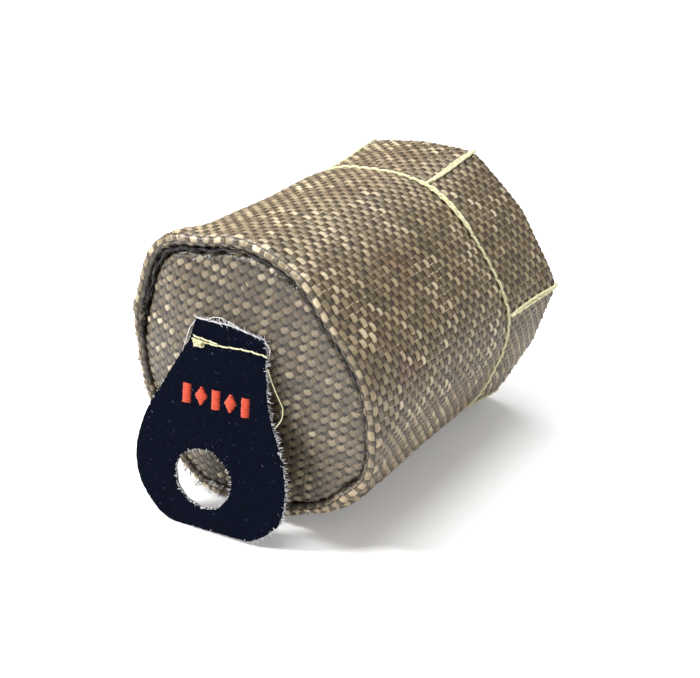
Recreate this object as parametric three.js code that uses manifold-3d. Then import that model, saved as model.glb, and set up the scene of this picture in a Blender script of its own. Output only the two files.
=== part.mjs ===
// Oil filter heat blanket: a padded cup of woven rock-fibre cloth that slips over a spin-on filter.
// It lies on its side as it would on a bench, so its underside is pressed flat.
// Millimetres. +X runs along the cup's axis from its closed end to its mouth, +Z is up.
// The origin is the middle of the lining's end face, where the filter's closed end seats.

import * as THREE from 'three';
import { mergeVertices } from 'three/addons/utils/BufferGeometryUtils.js';
import Module from 'manifold-3d';

const wasm = await Module();
wasm.setup();

// Clearance between neighbouring pieces
const GAP = 0.3;
const LAYER_GAP = 0.5;

// Thickness of each layer
const CLOTH = 1.1;
const WALL_PADDING = 3.2;
const END_PADDING = 3.4;
const LINING = 0.8;

// The cup
const CUP_RADIUS = 40;
const CUP_LENGTH = 87.6;
const AXIS_HEIGHT = 37.5;
const RING_FROM_MOUTH = 26.2;
const HEM_PAST_RING = 3;
const LINING_UNDER_HEM = 8;
const PADDING_SHORT_OF_MOUTH = 2.5;

// The closed end: a bulged disc, sewn inside a rolled lip of the wall
const LIP_RISE = 3;
const LIP_REACH = 2.6;
const SHOULDER_LENGTH = 10;
const SHOULDER_SWELL = 1.1;
const TURNED_IN = 3.5;
const END_BULGE = 3.6;
const END_BULGE_SKEW = 0.04;
const LEAST_SKEW = 0.3;
const MOST_SKEW = 1.8;
const END_DISC_CLEARANCE = 0.35;
const PUCKERS = 14;
const PUCKER_HEIGHT = 0.4;
const PUCKER_LENGTH = 14;

// The weave, drawn coarser than the real yarns
const WEAVE_PITCH = 3.5;
const WEAVE_HEIGHT = 0.35;
const END_GRAIN_TURN = 40;

// Sewing threads
const THREAD = 0.9;
const THREAD_SIDES = 6;
const STITCH_WAVE = 0.12;
const RING_GROOVE = 1.5;
const TIE_GROOVE = 1.2;

// The closing seam of the wall, along the hidden side
const SIDE_SEAM_RISE = 0.9;

// The pull tab, measured from the middle of its stitch line
const TAB_THICKNESS = 1.2;
const TAB_STITCH_HEIGHT = 13.4;
const TAB_YAW = 8.5;
const TAB_LEAN = 9.2;
const TAB_SEAT_GAP = 1.3;
const TAB_TOP = 5.4;
const TAB_DROP = 51.5;
const TAB_STITCH_LENGTH = 21;
const TAB_HOLE_RADIUS = 8.3;
const TAB_HOLE_SIDE = -6.2;
const TAB_HOLE_DROP = 37;
const TAIL_THREAD = 0.7;

// The stitched mark on the tab
const MARK_HEIGHT = 5;
const MARK_PITCH = 4.2;
const MARK_BAR_WIDTH = 2.2;
const MARK_DIAMOND_WIDTH = 3.6;
const MARK_THICKNESS = 0.5;
const MARK_SIDE = -3.2;
const MARK_DROP = 14.4;

// Angles are in degrees about +X, from +Y (0) over +Z (90).
// Each tie crosses the hem from the ring stitch to the mouth, and makes a soft corner there.
const TIE_ANGLES = [61, 108, 171, 232, 292, 354];
const COLUMNS_PER_PANEL = 12;
const COLUMNS = TIE_ANGLES.length * COLUMNS_PER_PANEL;
const SIDE_SEAM_COLUMN = 5 * COLUMNS_PER_PANEL + 5;

// How far the soft cup departs from a true round: angle, and millimetres from the cup's radius
const BODY_SHAPE = [
  [27, -0.5], [61, 0.3], [85, -0.5], [108, 0.1], [140, -0.7], [171, 0.9],
  [200, -1], [232, -1], [262, -0.5], [292, -0.2], [322, -0.5], [354, 0],
];
const MOUTH_SHAPE = [
  [27, -0.7], [61, 2.4], [85, -0.5], [108, 2.5], [138, -0.9], [171, 2.3],
  [200, -1.9], [232, 1.6], [262, -1.2], [292, 1.6], [322, -0.8], [354, 2],
];
const END_SEAM_SHAPE = [
  [0, -5.4], [27, -4.6], [53, -1.2], [75, -3.8], [95, -2.7], [116, -2.6], [137, -4.9],
  [165, -3], [197, -1.8], [215, -4], [245, -6.2], [272, -5], [295, -2.3], [315, -3], [340, -5.2],
];

// Places along the axis, and depths below the cup's outside
const END_X = -(LINING + GAP + END_PADDING + LAYER_GAP + CLOTH);
const MOUTH_X = END_X + CUP_LENGTH;
const RING_X = MOUTH_X - RING_FROM_MOUTH;
const PADDING_TOP = CLOTH + LAYER_GAP;
const PADDING_BASE = PADDING_TOP + WALL_PADDING;
const LINING_TOP = PADDING_BASE + LAYER_GAP;
const LINING_BASE = LINING_TOP + LINING;
const HEM_TOP = LINING_BASE + LAYER_GAP;
const HEM_BASE = HEM_TOP + CLOTH;
const TURN_FRONT_X = END_X + CLOTH + GAP;
const TURN_BACK_X = TURN_FRONT_X + CLOTH;

const radians = THREE.MathUtils.degToRad;
const smooth = (t) => THREE.MathUtils.smoothstep(t, 0, 1);

// Angle of each lengthwise column of the weave: the ties share the columns out between them
function columnAngle(column) {
  const panel = Math.floor(column / COLUMNS_PER_PANEL) % TIE_ANGLES.length;
  const start = TIE_ANGLES[panel];
  const last = panel === TIE_ANGLES.length - 1;
  const end = last ? TIE_ANGLES[0] + 360 : TIE_ANGLES[panel + 1];
  return start + (end - start) * (column % COLUMNS_PER_PANEL) / COLUMNS_PER_PANEL;
}

const SIDE_SEAM_ANGLE = columnAngle(SIDE_SEAM_COLUMN);

function angleApart(a, b) {
  return Math.abs(THREE.MathUtils.euclideanModulo(a - b + 180, 360) - 180);
}

// The two entries of a closed shape on either side of an angle, and the share of the way between them
function between(shape, angle) {
  const a = THREE.MathUtils.euclideanModulo(angle, 360);
  const next = shape.findIndex((entry) => entry[0] > a);
  const after = next === -1 ? 0 : next;
  const before = (after + shape.length - 1) % shape.length;
  const span = THREE.MathUtils.euclideanModulo(shape[after][0] - shape[before][0], 360);
  const along = THREE.MathUtils.euclideanModulo(a - shape[before][0], 360);
  return { from: shape[before][1], to: shape[after][1], span, along };
}

// Radius of a shape whose stretches curve softly into each other
function roundShape(shape, angle) {
  const { from, to, span, along } = between(shape, angle);
  return CUP_RADIUS + from + (to - from) * smooth(along / span);
}

// Radius of a shape whose stretches are straight, with a corner at each entry
function straightShape(shape, angle) {
  const { from, to, span, along } = between(shape, angle);
  const r1 = CUP_RADIUS + from;
  const r2 = CUP_RADIUS + to;
  const total = radians(span);
  const part = radians(along);
  return r1 * r2 * Math.sin(total) / (r1 * Math.sin(part) + r2 * Math.sin(total - part));
}

// Radius of the closed end's seam, kept a lip's thickness above the floor
function endSeamRadius(angle) {
  const toFloor = (AXIS_HEIGHT - LIP_RISE) / Math.max(0.01, -Math.sin(radians(angle)));
  return Math.min(roundShape(END_SEAM_SHAPE, angle), toFloor);
}

// Outside radius of the cup at a place along its axis
function cupRadius(x, angle) {
  const body = roundShape(BODY_SHAPE, angle);
  const lip = endSeamRadius(angle) + LIP_RISE;
  const mouth = straightShape(MOUTH_SHAPE, angle);
  const fromEnd = x - END_X;
  const swell = SHOULDER_SWELL * Math.exp(-((fromEnd / SHOULDER_LENGTH) ** 2));
  const shoulder = lip + (body - lip) * smooth(fromEnd / SHOULDER_LENGTH);
  const flare = smooth((x - RING_X) / RING_FROM_MOUTH);
  return shoulder + (mouth - shoulder) * flare + swell * (1 - flare);
}

// What only the outside of the cloth shows: puckers by the closed end, and the side seam's ridge
function outsideRise(x, angle) {
  const fade = 1 - smooth((x - END_X) / PUCKER_LENGTH);
  const pucker = PUCKER_HEIGHT * Math.cos(radians(PUCKERS * angle)) * fade;
  const seamReach = radians(angleApart(angle, SIDE_SEAM_ANGLE)) * CUP_RADIUS / WEAVE_PITCH;
  const ridgeEnd = 1 - smooth((x - RING_X) / WEAVE_PITCH + 1);
  return pucker + SIDE_SEAM_RISE * Math.exp(-(seamReach ** 2)) * ridgeEnd;
}

// A point of the cup: depth goes inwards from its outside, and the floor presses the underside flat
function cupPoint(x, angle, depth) {
  const r = cupRadius(x, angle) - depth;
  const y = r * Math.cos(radians(angle));
  const z = Math.max(r * Math.sin(radians(angle)), -(AXIS_HEIGHT - depth));
  return new THREE.Vector3(x, y, z);
}

// Front of the closed end's cloth: the disc bulges out, and more on its +Y side
function endFront(y, z) {
  const angle = THREE.MathUtils.radToDeg(Math.atan2(z, y));
  const share = Math.min(Math.hypot(y, z) / endSeamRadius(angle), 1);
  const skew = THREE.MathUtils.clamp(1 + END_BULGE_SKEW * y, LEAST_SKEW, MOST_SKEW);
  return END_X - END_BULGE * (1 - share ** 2) * skew;
}

// Turns the faces outwards if the mesh came out inside out
function facingOut(points, faces) {
  let volume = 0;
  for (const [a, b, c] of faces) {
    volume += points[a].dot(new THREE.Vector3().crossVectors(points[b], points[c]));
  }
  const turned = volume < 0 ? faces.map(([a, b, c]) => [a, c, b]) : faces;
  const geometry = new THREE.BufferGeometry();
  geometry.setAttribute('position', new THREE.Float32BufferAttribute(points.flatMap((p) => p.toArray()), 3));
  geometry.setIndex(turned.flat());
  return geometry;
}

// A closed band round the cup. rows go once round its section, and each gives a point for an angle.
// Each square of the weave is split between its two high corners.
function bandAroundCup(rows, columnStep) {
  const columns = COLUMNS / columnStep;
  const points = [];
  for (const row of rows) {
    for (let j = 0; j < columns; j++) {
      points.push(row(columnAngle(j * columnStep), j * columnStep));
    }
  }
  const faces = [];
  for (let i = 0; i < rows.length; i++) {
    for (let j = 0; j < columns; j++) {
      const a = i * columns + j;
      const b = ((i + 1) % rows.length) * columns + j;
      const c = ((i + 1) % rows.length) * columns + (j + 1) % columns;
      const d = i * columns + (j + 1) % columns;
      if ((i + j) % 2 === 0) {
        faces.push([a, b, c], [a, c, d]);
      } else {
        faces.push([a, b, d], [b, c, d]);
      }
    }
  }
  return facingOut(points, faces);
}

const plainRow = (x, depth) => (angle) => cupPoint(x, angle, depth);

const isTie = (column) => column % COLUMNS_PER_PANEL === 0;
const tieSink = (x, column) => (isTie(column) && x > RING_X ? TIE_GROOVE : 0);

// A row of a layer that the ring stitch and the ties pull in
function quiltedRow(x, depth) {
  const sink = Math.abs(x - RING_X) < GAP ? RING_GROOVE : 0;
  return (angle, column) => cupPoint(x, angle, depth + Math.max(sink, tieSink(x, column)));
}

// Even steps from one place to the next, close to the weave's pitch
function evenly(from, to, pitch) {
  const steps = Math.max(1, Math.round((to - from) / pitch));
  return Array.from({ length: steps + 1 }, (_, i) => THREE.MathUtils.lerp(from, to, i / steps));
}

// Crossings of the weave along the axis, with one of them on the ring stitch
const WEAVE_START_X = END_X + WEAVE_HEIGHT * 2;
const FOLD_X = MOUTH_X - CLOTH;
const rowsToRing = evenly(WEAVE_START_X, RING_X, WEAVE_PITCH);
const rowsToMouth = evenly(RING_X, FOLD_X, WEAVE_PITCH).slice(1);
const weaveXs = [...rowsToRing, ...rowsToMouth];

// Where the ring stitch starts and stops pulling the layers in
const ringStep = (RING_X - WEAVE_START_X) / (rowsToRing.length - 1);
const ringStepAfter = (FOLD_X - RING_X) / rowsToMouth.length;
const BEFORE_RING_X = RING_X - ringStep;
const AFTER_RING_X = RING_X + ringStepAfter;

// Places along the axis that the layers share, so that they stay parallel
const HEM_XS = [RING_X - HEM_PAST_RING, RING_X + LINING_UNDER_HEM, FOLD_X];
const PLAIN_XS = [END_X + SHOULDER_LENGTH * 0.6, END_X + PUCKER_LENGTH, (BEFORE_RING_X + END_X) / 2];
const QUILTED_XS = [BEFORE_RING_X, RING_X, AFTER_RING_X, (FOLD_X + AFTER_RING_X) / 2];

// Outer cloth of the wall: rolled lip, woven outside, mouth, turned-in hem and inside, in that order
function outerWall() {
  const lipFoot = LIP_RISE;
  const turned = LIP_RISE + TURNED_IN;
  const rows = [
    plainRow(TURN_FRONT_X, turned),
    plainRow(TURN_FRONT_X, lipFoot),
    plainRow(END_X, lipFoot),
    plainRow(END_X - LIP_REACH * 0.65, LIP_RISE * 0.75),
    plainRow(END_X - LIP_REACH, LIP_RISE * 0.4),
    plainRow(END_X - LIP_REACH * 0.7, 0.2),
  ];
  const firstWeave = rows.length;
  weaveXs.forEach((x, i) => {
    const onRing = x === RING_X;
    rows.push((angle, column) => {
      const high = (firstWeave + i + column) % 2 === 0;
      const still = onRing || isTie(column) || x === FOLD_X;
      const relief = still ? 0 : (high ? WEAVE_HEIGHT : -WEAVE_HEIGHT);
      const sink = onRing ? RING_GROOVE : tieSink(x, column);
      const pressed = cupPoint(x, angle, sink);
      if (pressed.z <= sink - AXIS_HEIGHT) {
        return pressed;
      }
      const point = cupPoint(x, angle, sink - relief - outsideRise(x, angle));
      point.z = Math.max(point.z, -AXIS_HEIGHT);
      return point;
    });
  });
  const foldMiddle = HEM_BASE / 2;
  rows.push(
    plainRow(MOUTH_X - CLOTH * 0.3, CLOTH * 1.4),
    plainRow(MOUTH_X, foldMiddle),
    plainRow(MOUTH_X - CLOTH * 0.3, HEM_BASE - CLOTH * 1.4),
    ...[...HEM_XS].reverse().map((x) => plainRow(x, HEM_BASE)),
    ...HEM_XS.map((x) => plainRow(x, HEM_TOP)),
    plainRow(FOLD_X, foldMiddle),
    quiltedRow(FOLD_X - CLOTH, CLOTH),
    ...[...QUILTED_XS].reverse().map((x) => quiltedRow(x, CLOTH)),
    ...[...PLAIN_XS].reverse().map((x) => plainRow(x, CLOTH)),
    plainRow(TURN_BACK_X, CLOTH),
    plainRow(TURN_BACK_X, turned),
  );
  return bandAroundCup(rows, 1);
}

// Padding of the wall: a strip of needled mat between the cloth and the lining
function wallPadding() {
  const start = TURN_BACK_X + GAP;
  const end = MOUTH_X - PADDING_SHORT_OF_MOUTH;
  const rows = [
    ...[start, ...PLAIN_XS].map((x) => plainRow(x, PADDING_TOP)),
    ...[...QUILTED_XS, end].map((x) => quiltedRow(x, PADDING_TOP)),
    ...[start, ...PLAIN_XS, ...QUILTED_XS, end].reverse().map((x) => plainRow(x, PADDING_BASE)),
  ];
  return bandAroundCup(rows, 2);
}

// Lining of the wall: thin cloth that runs under the hem
function wallLining() {
  const xs = [-LINING, ...PLAIN_XS.slice(1), RING_X - HEM_PAST_RING, RING_X + LINING_UNDER_HEM];
  const rows = [
    ...xs.map((x) => plainRow(x, LINING_TOP)),
    ...[...xs].reverse().map((x) => plainRow(x, LINING_BASE)),
  ];
  return bandAroundCup(rows, 2);
}

// A disc across the cup: front and back give x for a point, edge gives the radius for an angle
function disc(edge, front, back, rings, columnStep) {
  const columns = COLUMNS / columnStep;
  const points = [new THREE.Vector3(front(0, 0), 0, 0), new THREE.Vector3(back(0, 0), 0, 0)];
  const faces = [];
  const start = [];
  for (const side of [front, back]) {
    start.push(points.length);
    for (let ring = 1; ring <= rings; ring++) {
      for (let j = 0; j < columns; j++) {
        const angle = columnAngle(j * columnStep);
        const r = edge(angle) * ring / rings;
        const y = r * Math.cos(radians(angle));
        const z = r * Math.sin(radians(angle));
        points.push(new THREE.Vector3(side(y, z), y, z));
      }
    }
  }
  const at = (side, ring, j) => start[side] + (ring - 1) * columns + j % columns;
  for (const side of [0, 1]) {
    const add = (a, b, c) => faces.push(side === 0 ? [a, c, b] : [a, b, c]);
    for (let j = 0; j < columns; j++) {
      add(side, at(side, 1, j), at(side, 1, j + 1));
      for (let ring = 1; ring < rings; ring++) {
        add(at(side, ring, j), at(side, ring + 1, j), at(side, ring + 1, j + 1));
        add(at(side, ring, j), at(side, ring + 1, j + 1), at(side, ring, j + 1));
      }
    }
  }
  for (let j = 0; j < columns; j++) {
    faces.push([at(0, rings, j), at(0, rings, j + 1), at(1, rings, j + 1)]);
    faces.push([at(0, rings, j), at(1, rings, j + 1), at(1, rings, j)]);
  }
  return facingOut(points, faces);
}

function toManifold(geometry) {
  const bare = geometry.clone();
  bare.deleteAttribute('normal');
  bare.deleteAttribute('uv');
  const merged = mergeVertices(bare, 1e-4);
  return new wasm.Manifold(new wasm.Mesh({
    numProp: 3,
    vertProperties: new Float32Array(merged.attributes.position.array),
    triVerts: new Uint32Array(merged.index.array),
  }));
}

function fromManifold(solid) {
  const mesh = solid.getMesh();
  const geometry = new THREE.BufferGeometry();
  geometry.setAttribute('position', new THREE.BufferAttribute(new Float32Array(mesh.vertProperties), 3));
  geometry.setIndex(new THREE.BufferAttribute(new Uint32Array(mesh.triVerts), 1));
  return geometry;
}

// The woven face of the closed end, as a block whose grain is turned: crossings rise and fall by turns
function wovenBlock() {
  const half = Math.ceil((CUP_RADIUS + WEAVE_PITCH) / WEAVE_PITCH);
  const count = 2 * half + 1;
  const turn = radians(END_GRAIN_TURN);
  const points = [];
  const faces = [];
  for (let i = 0; i < count; i++) {
    for (let j = 0; j < count; j++) {
      const across = (i - half) * WEAVE_PITCH;
      const along = (j - half) * WEAVE_PITCH;
      const y = across * Math.cos(turn) - along * Math.sin(turn);
      const z = across * Math.sin(turn) + along * Math.cos(turn);
      const inside = endSeamRadius(THREE.MathUtils.radToDeg(Math.atan2(z, y))) - Math.hypot(y, z);
      const relief = WEAVE_HEIGHT * THREE.MathUtils.clamp(inside / WEAVE_PITCH, 0, 1);
      points.push(new THREE.Vector3(endFront(y, z) + ((i + j) % 2 === 0 ? -relief : relief), y, z));
    }
  }
  const back = points.length;
  const reach = half * WEAVE_PITCH;
  for (const [i, j] of [[-1, -1], [1, -1], [1, 1], [-1, 1]]) {
    const y = reach * (i * Math.cos(turn) - j * Math.sin(turn));
    const z = reach * (i * Math.sin(turn) + j * Math.cos(turn));
    points.push(new THREE.Vector3(CUP_LENGTH, y, z));
  }
  const at = (i, j) => i * count + j;
  const last = count - 1;
  for (let i = 0; i < last; i++) {
    for (let j = 0; j < last; j++) {
      const [a, b, c, d] = [at(i, j), at(i + 1, j), at(i + 1, j + 1), at(i, j + 1)];
      if ((i + j) % 2 === 0) {
        faces.push([a, c, b], [a, d, c]);
      } else {
        faces.push([a, d, b], [b, d, c]);
      }
    }
    faces.push([at(i, 0), at(i + 1, 0), back], [at(i + 1, last), at(i, last), back + 2]);
    faces.push([at(0, i + 1), at(0, i), back + 3], [at(last, i), at(last, i + 1), back + 1]);
  }
  faces.push([at(last, 0), back + 1, back], [at(last, last), back + 2, back + 1]);
  faces.push([at(0, last), back + 3, back + 2], [at(0, 0), back, back + 3]);
  faces.push([back, back + 1, back + 2], [back, back + 2, back + 3]);
  return facingOut(points, faces);
}

function endCloth() {
  const edge = (angle) => endSeamRadius(angle) - END_DISC_CLEARANCE;
  const blank = disc(edge, () => -CUP_LENGTH, (y, z) => endFront(y, z) + CLOTH, 5, 2);
  return fromManifold(toManifold(wovenBlock()).intersect(toManifold(blank)));
}

function endPadding() {
  const edge = (angle) => endSeamRadius(angle) - TURNED_IN - GAP * 2;
  return disc(edge, (y, z) => endFront(y, z) + CLOTH + LAYER_GAP, () => -LINING - GAP, 4, 2);
}

function endLining() {
  const edge = (angle) => {
    const toFloor = (AXIS_HEIGHT - HEM_TOP) / Math.max(0.01, -Math.sin(radians(angle)));
    return Math.min(cupRadius(-LINING / 2, angle) - HEM_TOP, toFloor);
  };
  return disc(edge, () => -LINING, () => 0, 1, 2);
}

// A sewing thread that follows a path from one end to the other
function thread(points, diameter, steps) {
  const section = new THREE.Shape();
  for (let i = 0; i < THREAD_SIDES; i++) {
    const turn = 2 * Math.PI * i / THREAD_SIDES;
    const x = diameter / 2 * Math.cos(turn);
    const y = diameter / 2 * Math.sin(turn);
    if (i === 0) {
      section.moveTo(x, y);
    } else {
      section.lineTo(x, y);
    }
  }
  section.closePath();
  const path = new THREE.CatmullRomCurve3(points);
  return new THREE.ExtrudeGeometry(section, { steps, extrudePath: path, bevelEnabled: false });
}

// A sewing thread right round the cup, rising and dipping from stitch to stitch
function threadAroundCup(centre, columnStep) {
  const rows = [];
  for (let side = 0; side < THREAD_SIDES; side++) {
    const turn = 2 * Math.PI * side / THREAD_SIDES;
    rows.push((angle, column) => {
      const wave = (column / columnStep) % 2 === 0 ? STITCH_WAVE : -STITCH_WAVE;
      const { x, depth } = centre(angle);
      const sunk = depth - wave - THREAD / 2 * Math.sin(turn);
      return cupPoint(x + THREAD / 2 * Math.cos(turn), angle, sunk);
    });
  }
  return bandAroundCup(rows, columnStep);
}

// How deep a thread's middle lies in a groove
const threadDepth = (groove) => groove - GAP - THREAD / 2 - STITCH_WAVE;

function ringThread() {
  return threadAroundCup(() => ({ x: RING_X, depth: threadDepth(RING_GROOVE) }), 1);
}

function endSeamThread() {
  const x = END_X - THREAD / 2 - GAP * 4;
  const inside = THREAD / 2;
  const depth = (angle) => cupRadius(x, angle) - endSeamRadius(angle) + inside;
  return threadAroundCup((angle) => ({ x, depth: depth(angle) }), 2);
}

function tieThread(angle) {
  const startX = RING_X + THREAD + GAP;
  const endX = MOUTH_X - CLOTH * 2;
  const points = evenly(startX, endX, WEAVE_PITCH * 1.5).map((x, i) => {
    const wave = i % 2 === 0 ? STITCH_WAVE : -STITCH_WAVE;
    return cupPoint(x, angle, threadDepth(TIE_GROOVE) - wave);
  });
  return thread(points, THREAD, points.length * 2);
}

function sideSeamThread() {
  const angle = columnAngle(SIDE_SEAM_COLUMN + 1);
  const height = WEAVE_HEIGHT + GAP + THREAD / 2 + STITCH_WAVE;
  const points = evenly(END_X + WEAVE_PITCH, BEFORE_RING_X, WEAVE_PITCH * 2).map((x, i) => {
    const wave = i % 2 === 0 ? STITCH_WAVE : -STITCH_WAVE;
    return cupPoint(x, angle, -height - wave - outsideRise(x, angle));
  });
  return thread(points, THREAD, points.length * 2);
}

// The tab's outline, hand cut: narrow where it is sewn on, wide and round below
function tabShape() {
  const shape = new THREE.Shape();
  shape.moveTo(-10.1, TAB_TOP);
  shape.lineTo(-11.9, -0.7);
  shape.lineTo(-21.7, -18.4);
  shape.quadraticCurveTo(-26.2, -26.5, -26.7, -34.2);
  shape.quadraticCurveTo(-27, -43, -20.9, -48.1);
  shape.quadraticCurveTo(-18, -TAB_DROP, -13.2, -TAB_DROP);
  shape.lineTo(7.7, -TAB_DROP + 1);
  shape.quadraticCurveTo(12.4, -48.6, 16.4, -43.4);
  shape.quadraticCurveTo(18.3, -38, 17.2, -31);
  shape.quadraticCurveTo(16, -24.5, 12.8, -17.8);
  shape.quadraticCurveTo(11.2, -13, 10.9, -8);
  shape.lineTo(9.4, TAB_TOP - 1.5);
  shape.lineTo(0.3, TAB_TOP);
  shape.closePath();
  const hole = new THREE.Path();
  hole.absarc(TAB_HOLE_SIDE, -TAB_HOLE_DROP, TAB_HOLE_RADIUS, 0, 2 * Math.PI, true);
  shape.holes.push(hole);
  return shape;
}

function pullTab() {
  return new THREE.ExtrudeGeometry(tabShape(), { depth: TAB_THICKNESS, bevelEnabled: false, curveSegments: 6 });
}

const ON_TAB = TAB_THICKNESS + GAP;

function tabThread() {
  const z = ON_TAB + THREAD / 2 + STITCH_WAVE;
  const half = TAB_STITCH_LENGTH / 2;
  const points = evenly(-half, half, WEAVE_PITCH).map((x, i) => {
    const wave = i % 2 === 0 ? STITCH_WAVE : -STITCH_WAVE;
    return new THREE.Vector3(x, wave, z + wave);
  });
  return thread(points, THREAD, points.length * 2);
}

// The lump where the tab's stitching was started and doubled back
function tabKnot() {
  const knot = new THREE.SphereGeometry(1, 8, 6);
  knot.scale(1.8, 1.2, 0.7);
  knot.translate(-8.6, -1.2 - THREAD, ON_TAB + 0.7);
  return knot;
}

// The loose end of the tab's thread, hanging in a bow beside the tab's edge
function threadTail() {
  const points = [
    new THREE.Vector3(11.5, -0.8, 1),
    new THREE.Vector3(11.7, -3, 0.6),
    new THREE.Vector3(12.1, -6.7, 0.3),
    new THREE.Vector3(14.4, -10, 0),
    new THREE.Vector3(15.4, -12.6, 0.3),
    new THREE.Vector3(15.3, -16.3, 0.3),
    new THREE.Vector3(14.9, -20.2, 0.3),
  ];
  return thread(points, TAIL_THREAD, points.length * 2);
}

// One stitched patch of the mark: bars and diamonds by turns
function markPatch(index) {
  const bar = index % 2 === 0;
  const w = (bar ? MARK_BAR_WIDTH : MARK_DIAMOND_WIDTH) / 2;
  const h = MARK_HEIGHT / 2;
  const corners = bar ? [[-w, -h], [w, -h], [w, h], [-w, h]] : [[0, -h], [w, 0], [0, h], [-w, 0]];
  const shape = new THREE.Shape(corners.map(([x, y]) => new THREE.Vector2(x, y)));
  return new THREE.ExtrudeGeometry(shape, { depth: MARK_THICKNESS, bevelEnabled: false });
}

// Materials
const finish = (color, roughness) => new THREE.MeshStandardMaterial({ color, roughness, metalness: 0 });
const wovenCloth = finish(0x8a7a62, 0.55);
const needledMat = finish(0xd8d2c0, 0.95);
const liningCloth = finish(0xb8b2a4, 0.8);
const paleThread = finish(0xe6e2b4, 0.6);
const darkThread = finish(0x2a1c20, 0.7);
const denim = finish(0x171a2e, 0.9);
const orangeThread = finish(0xe8481e, 0.5);

const blanket = new THREE.Group();

function add(parent, name, geometry, material) {
  const mesh = new THREE.Mesh(geometry, material);
  mesh.name = name;
  parent.add(mesh);
  return mesh;
}

add(blanket, 'outer_wall', outerWall(), wovenCloth);
add(blanket, 'outer_end', endCloth(), wovenCloth);
add(blanket, 'wall_padding', wallPadding(), needledMat);
add(blanket, 'end_padding', endPadding(), needledMat);
add(blanket, 'wall_lining', wallLining(), liningCloth);
add(blanket, 'end_lining', endLining(), liningCloth);
add(blanket, 'ring_stitch', ringThread(), paleThread);
TIE_ANGLES.forEach((angle, i) => {
  add(blanket, `hem_tie_${i + 1}`, tieThread(angle), paleThread);
});
add(blanket, 'end_seam_thread', endSeamThread(), darkThread);
add(blanket, 'side_seam_thread', sideSeamThread(), darkThread);

// The tab hangs from its stitch line against the closed end and leans out to the floor
const tab = new THREE.Group();
const yaw = radians(TAB_YAW);
const lean = radians(TAB_LEAN);
const across = new THREE.Vector3(Math.sin(yaw), -Math.cos(yaw), 0);
const outward = new THREE.Vector3(
  -Math.cos(yaw) * Math.cos(lean),
  -Math.sin(yaw) * Math.cos(lean),
  Math.sin(lean),
);
const upward = new THREE.Vector3().crossVectors(outward, across);
tab.setRotationFromMatrix(new THREE.Matrix4().makeBasis(across, upward, outward));
tab.position.set(endFront(0, TAB_STITCH_HEIGHT) - TAB_SEAT_GAP, 0, TAB_STITCH_HEIGHT);
blanket.add(tab);

add(tab, 'pull_tab', pullTab(), denim);
add(tab, 'tab_stitch', tabThread(), paleThread);
add(tab, 'tab_stitch_knot', tabKnot(), paleThread);
add(tab, 'thread_tail', threadTail(), paleThread);
for (let i = 0; i < 5; i++) {
  const patch = add(tab, `tab_mark_${i + 1}`, markPatch(i), orangeThread);
  patch.position.set(MARK_SIDE + (i - 2) * MARK_PITCH, -MARK_DROP, ON_TAB);
}

export default blanket;
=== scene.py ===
"""Oil filter heat blanket: a padded cup of woven rock-fibre cloth with a denim pull tab."""

import math

import bmesh
import bpy
import numpy as np
from bpy.props import FloatProperty, FloatVectorProperty, IntProperty, PointerProperty
from mathutils import Matrix, Vector, noise


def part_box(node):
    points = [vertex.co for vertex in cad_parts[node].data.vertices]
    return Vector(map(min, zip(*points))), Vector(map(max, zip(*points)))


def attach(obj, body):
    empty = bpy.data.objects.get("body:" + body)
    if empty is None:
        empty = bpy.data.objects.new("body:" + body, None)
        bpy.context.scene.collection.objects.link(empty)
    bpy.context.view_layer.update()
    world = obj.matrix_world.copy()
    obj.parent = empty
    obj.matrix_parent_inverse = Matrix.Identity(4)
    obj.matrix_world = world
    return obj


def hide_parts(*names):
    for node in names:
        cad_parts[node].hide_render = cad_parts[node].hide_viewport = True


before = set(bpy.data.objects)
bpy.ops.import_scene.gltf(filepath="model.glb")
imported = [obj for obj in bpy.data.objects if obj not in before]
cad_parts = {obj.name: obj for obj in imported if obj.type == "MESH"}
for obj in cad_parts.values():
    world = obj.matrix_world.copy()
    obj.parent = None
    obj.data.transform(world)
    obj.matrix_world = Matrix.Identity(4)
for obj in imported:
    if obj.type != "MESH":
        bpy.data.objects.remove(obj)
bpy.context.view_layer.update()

bl_info = {
    "name": "Oil filter heat blanket",
    "version": (1, 0, 0),
    "blender": (4, 5, 0),
    "location": "View3D > Sidebar > Heat blanket",
    "description": "Builds a woven, padded heat blanket for a spin-on oil filter",
    "category": "Add Mesh",
}

BODY = "root"
MM = 0.001

# The cup, in millimetres, in the same frame as the part: +X runs from the closed end to the mouth
CUP_RADIUS = 40
AXIS_HEIGHT = 37.5
MOUTH_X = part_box("outer_wall")[1][0] / MM
RING_X = sum(corner[0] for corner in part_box("ring_stitch")) / 2 / MM
RING_FROM_MOUTH = MOUTH_X - RING_X
CUP_LENGTH = 87.6
END_X = MOUTH_X - CUP_LENGTH
CLOTH = 1.1
HEM_TOP = 6.6
HEM_BASE = HEM_TOP + CLOTH
HEM_PAST_RING = 3
FOLD_X = MOUTH_X - CLOTH
LIP_RISE = 3
LIP_REACH = 1.4
SHOULDER_LENGTH = 10
SHOULDER_SWELL = 1.1
END_BULGE = 3.6
END_BULGE_SKEW = 0.04
LEAST_SKEW, MOST_SKEW = 0.3, 1.8
END_GRAIN_TURN = -38
END_INSET = 0.35
LINING = 0.8
LINING_TOP = 5.3
PADDING_TOP, PADDING_BASE = 3.3, 4.7
PADDING_FROM_LIP, PADDING_FROM_MOUTH = 3.2, 3

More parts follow.
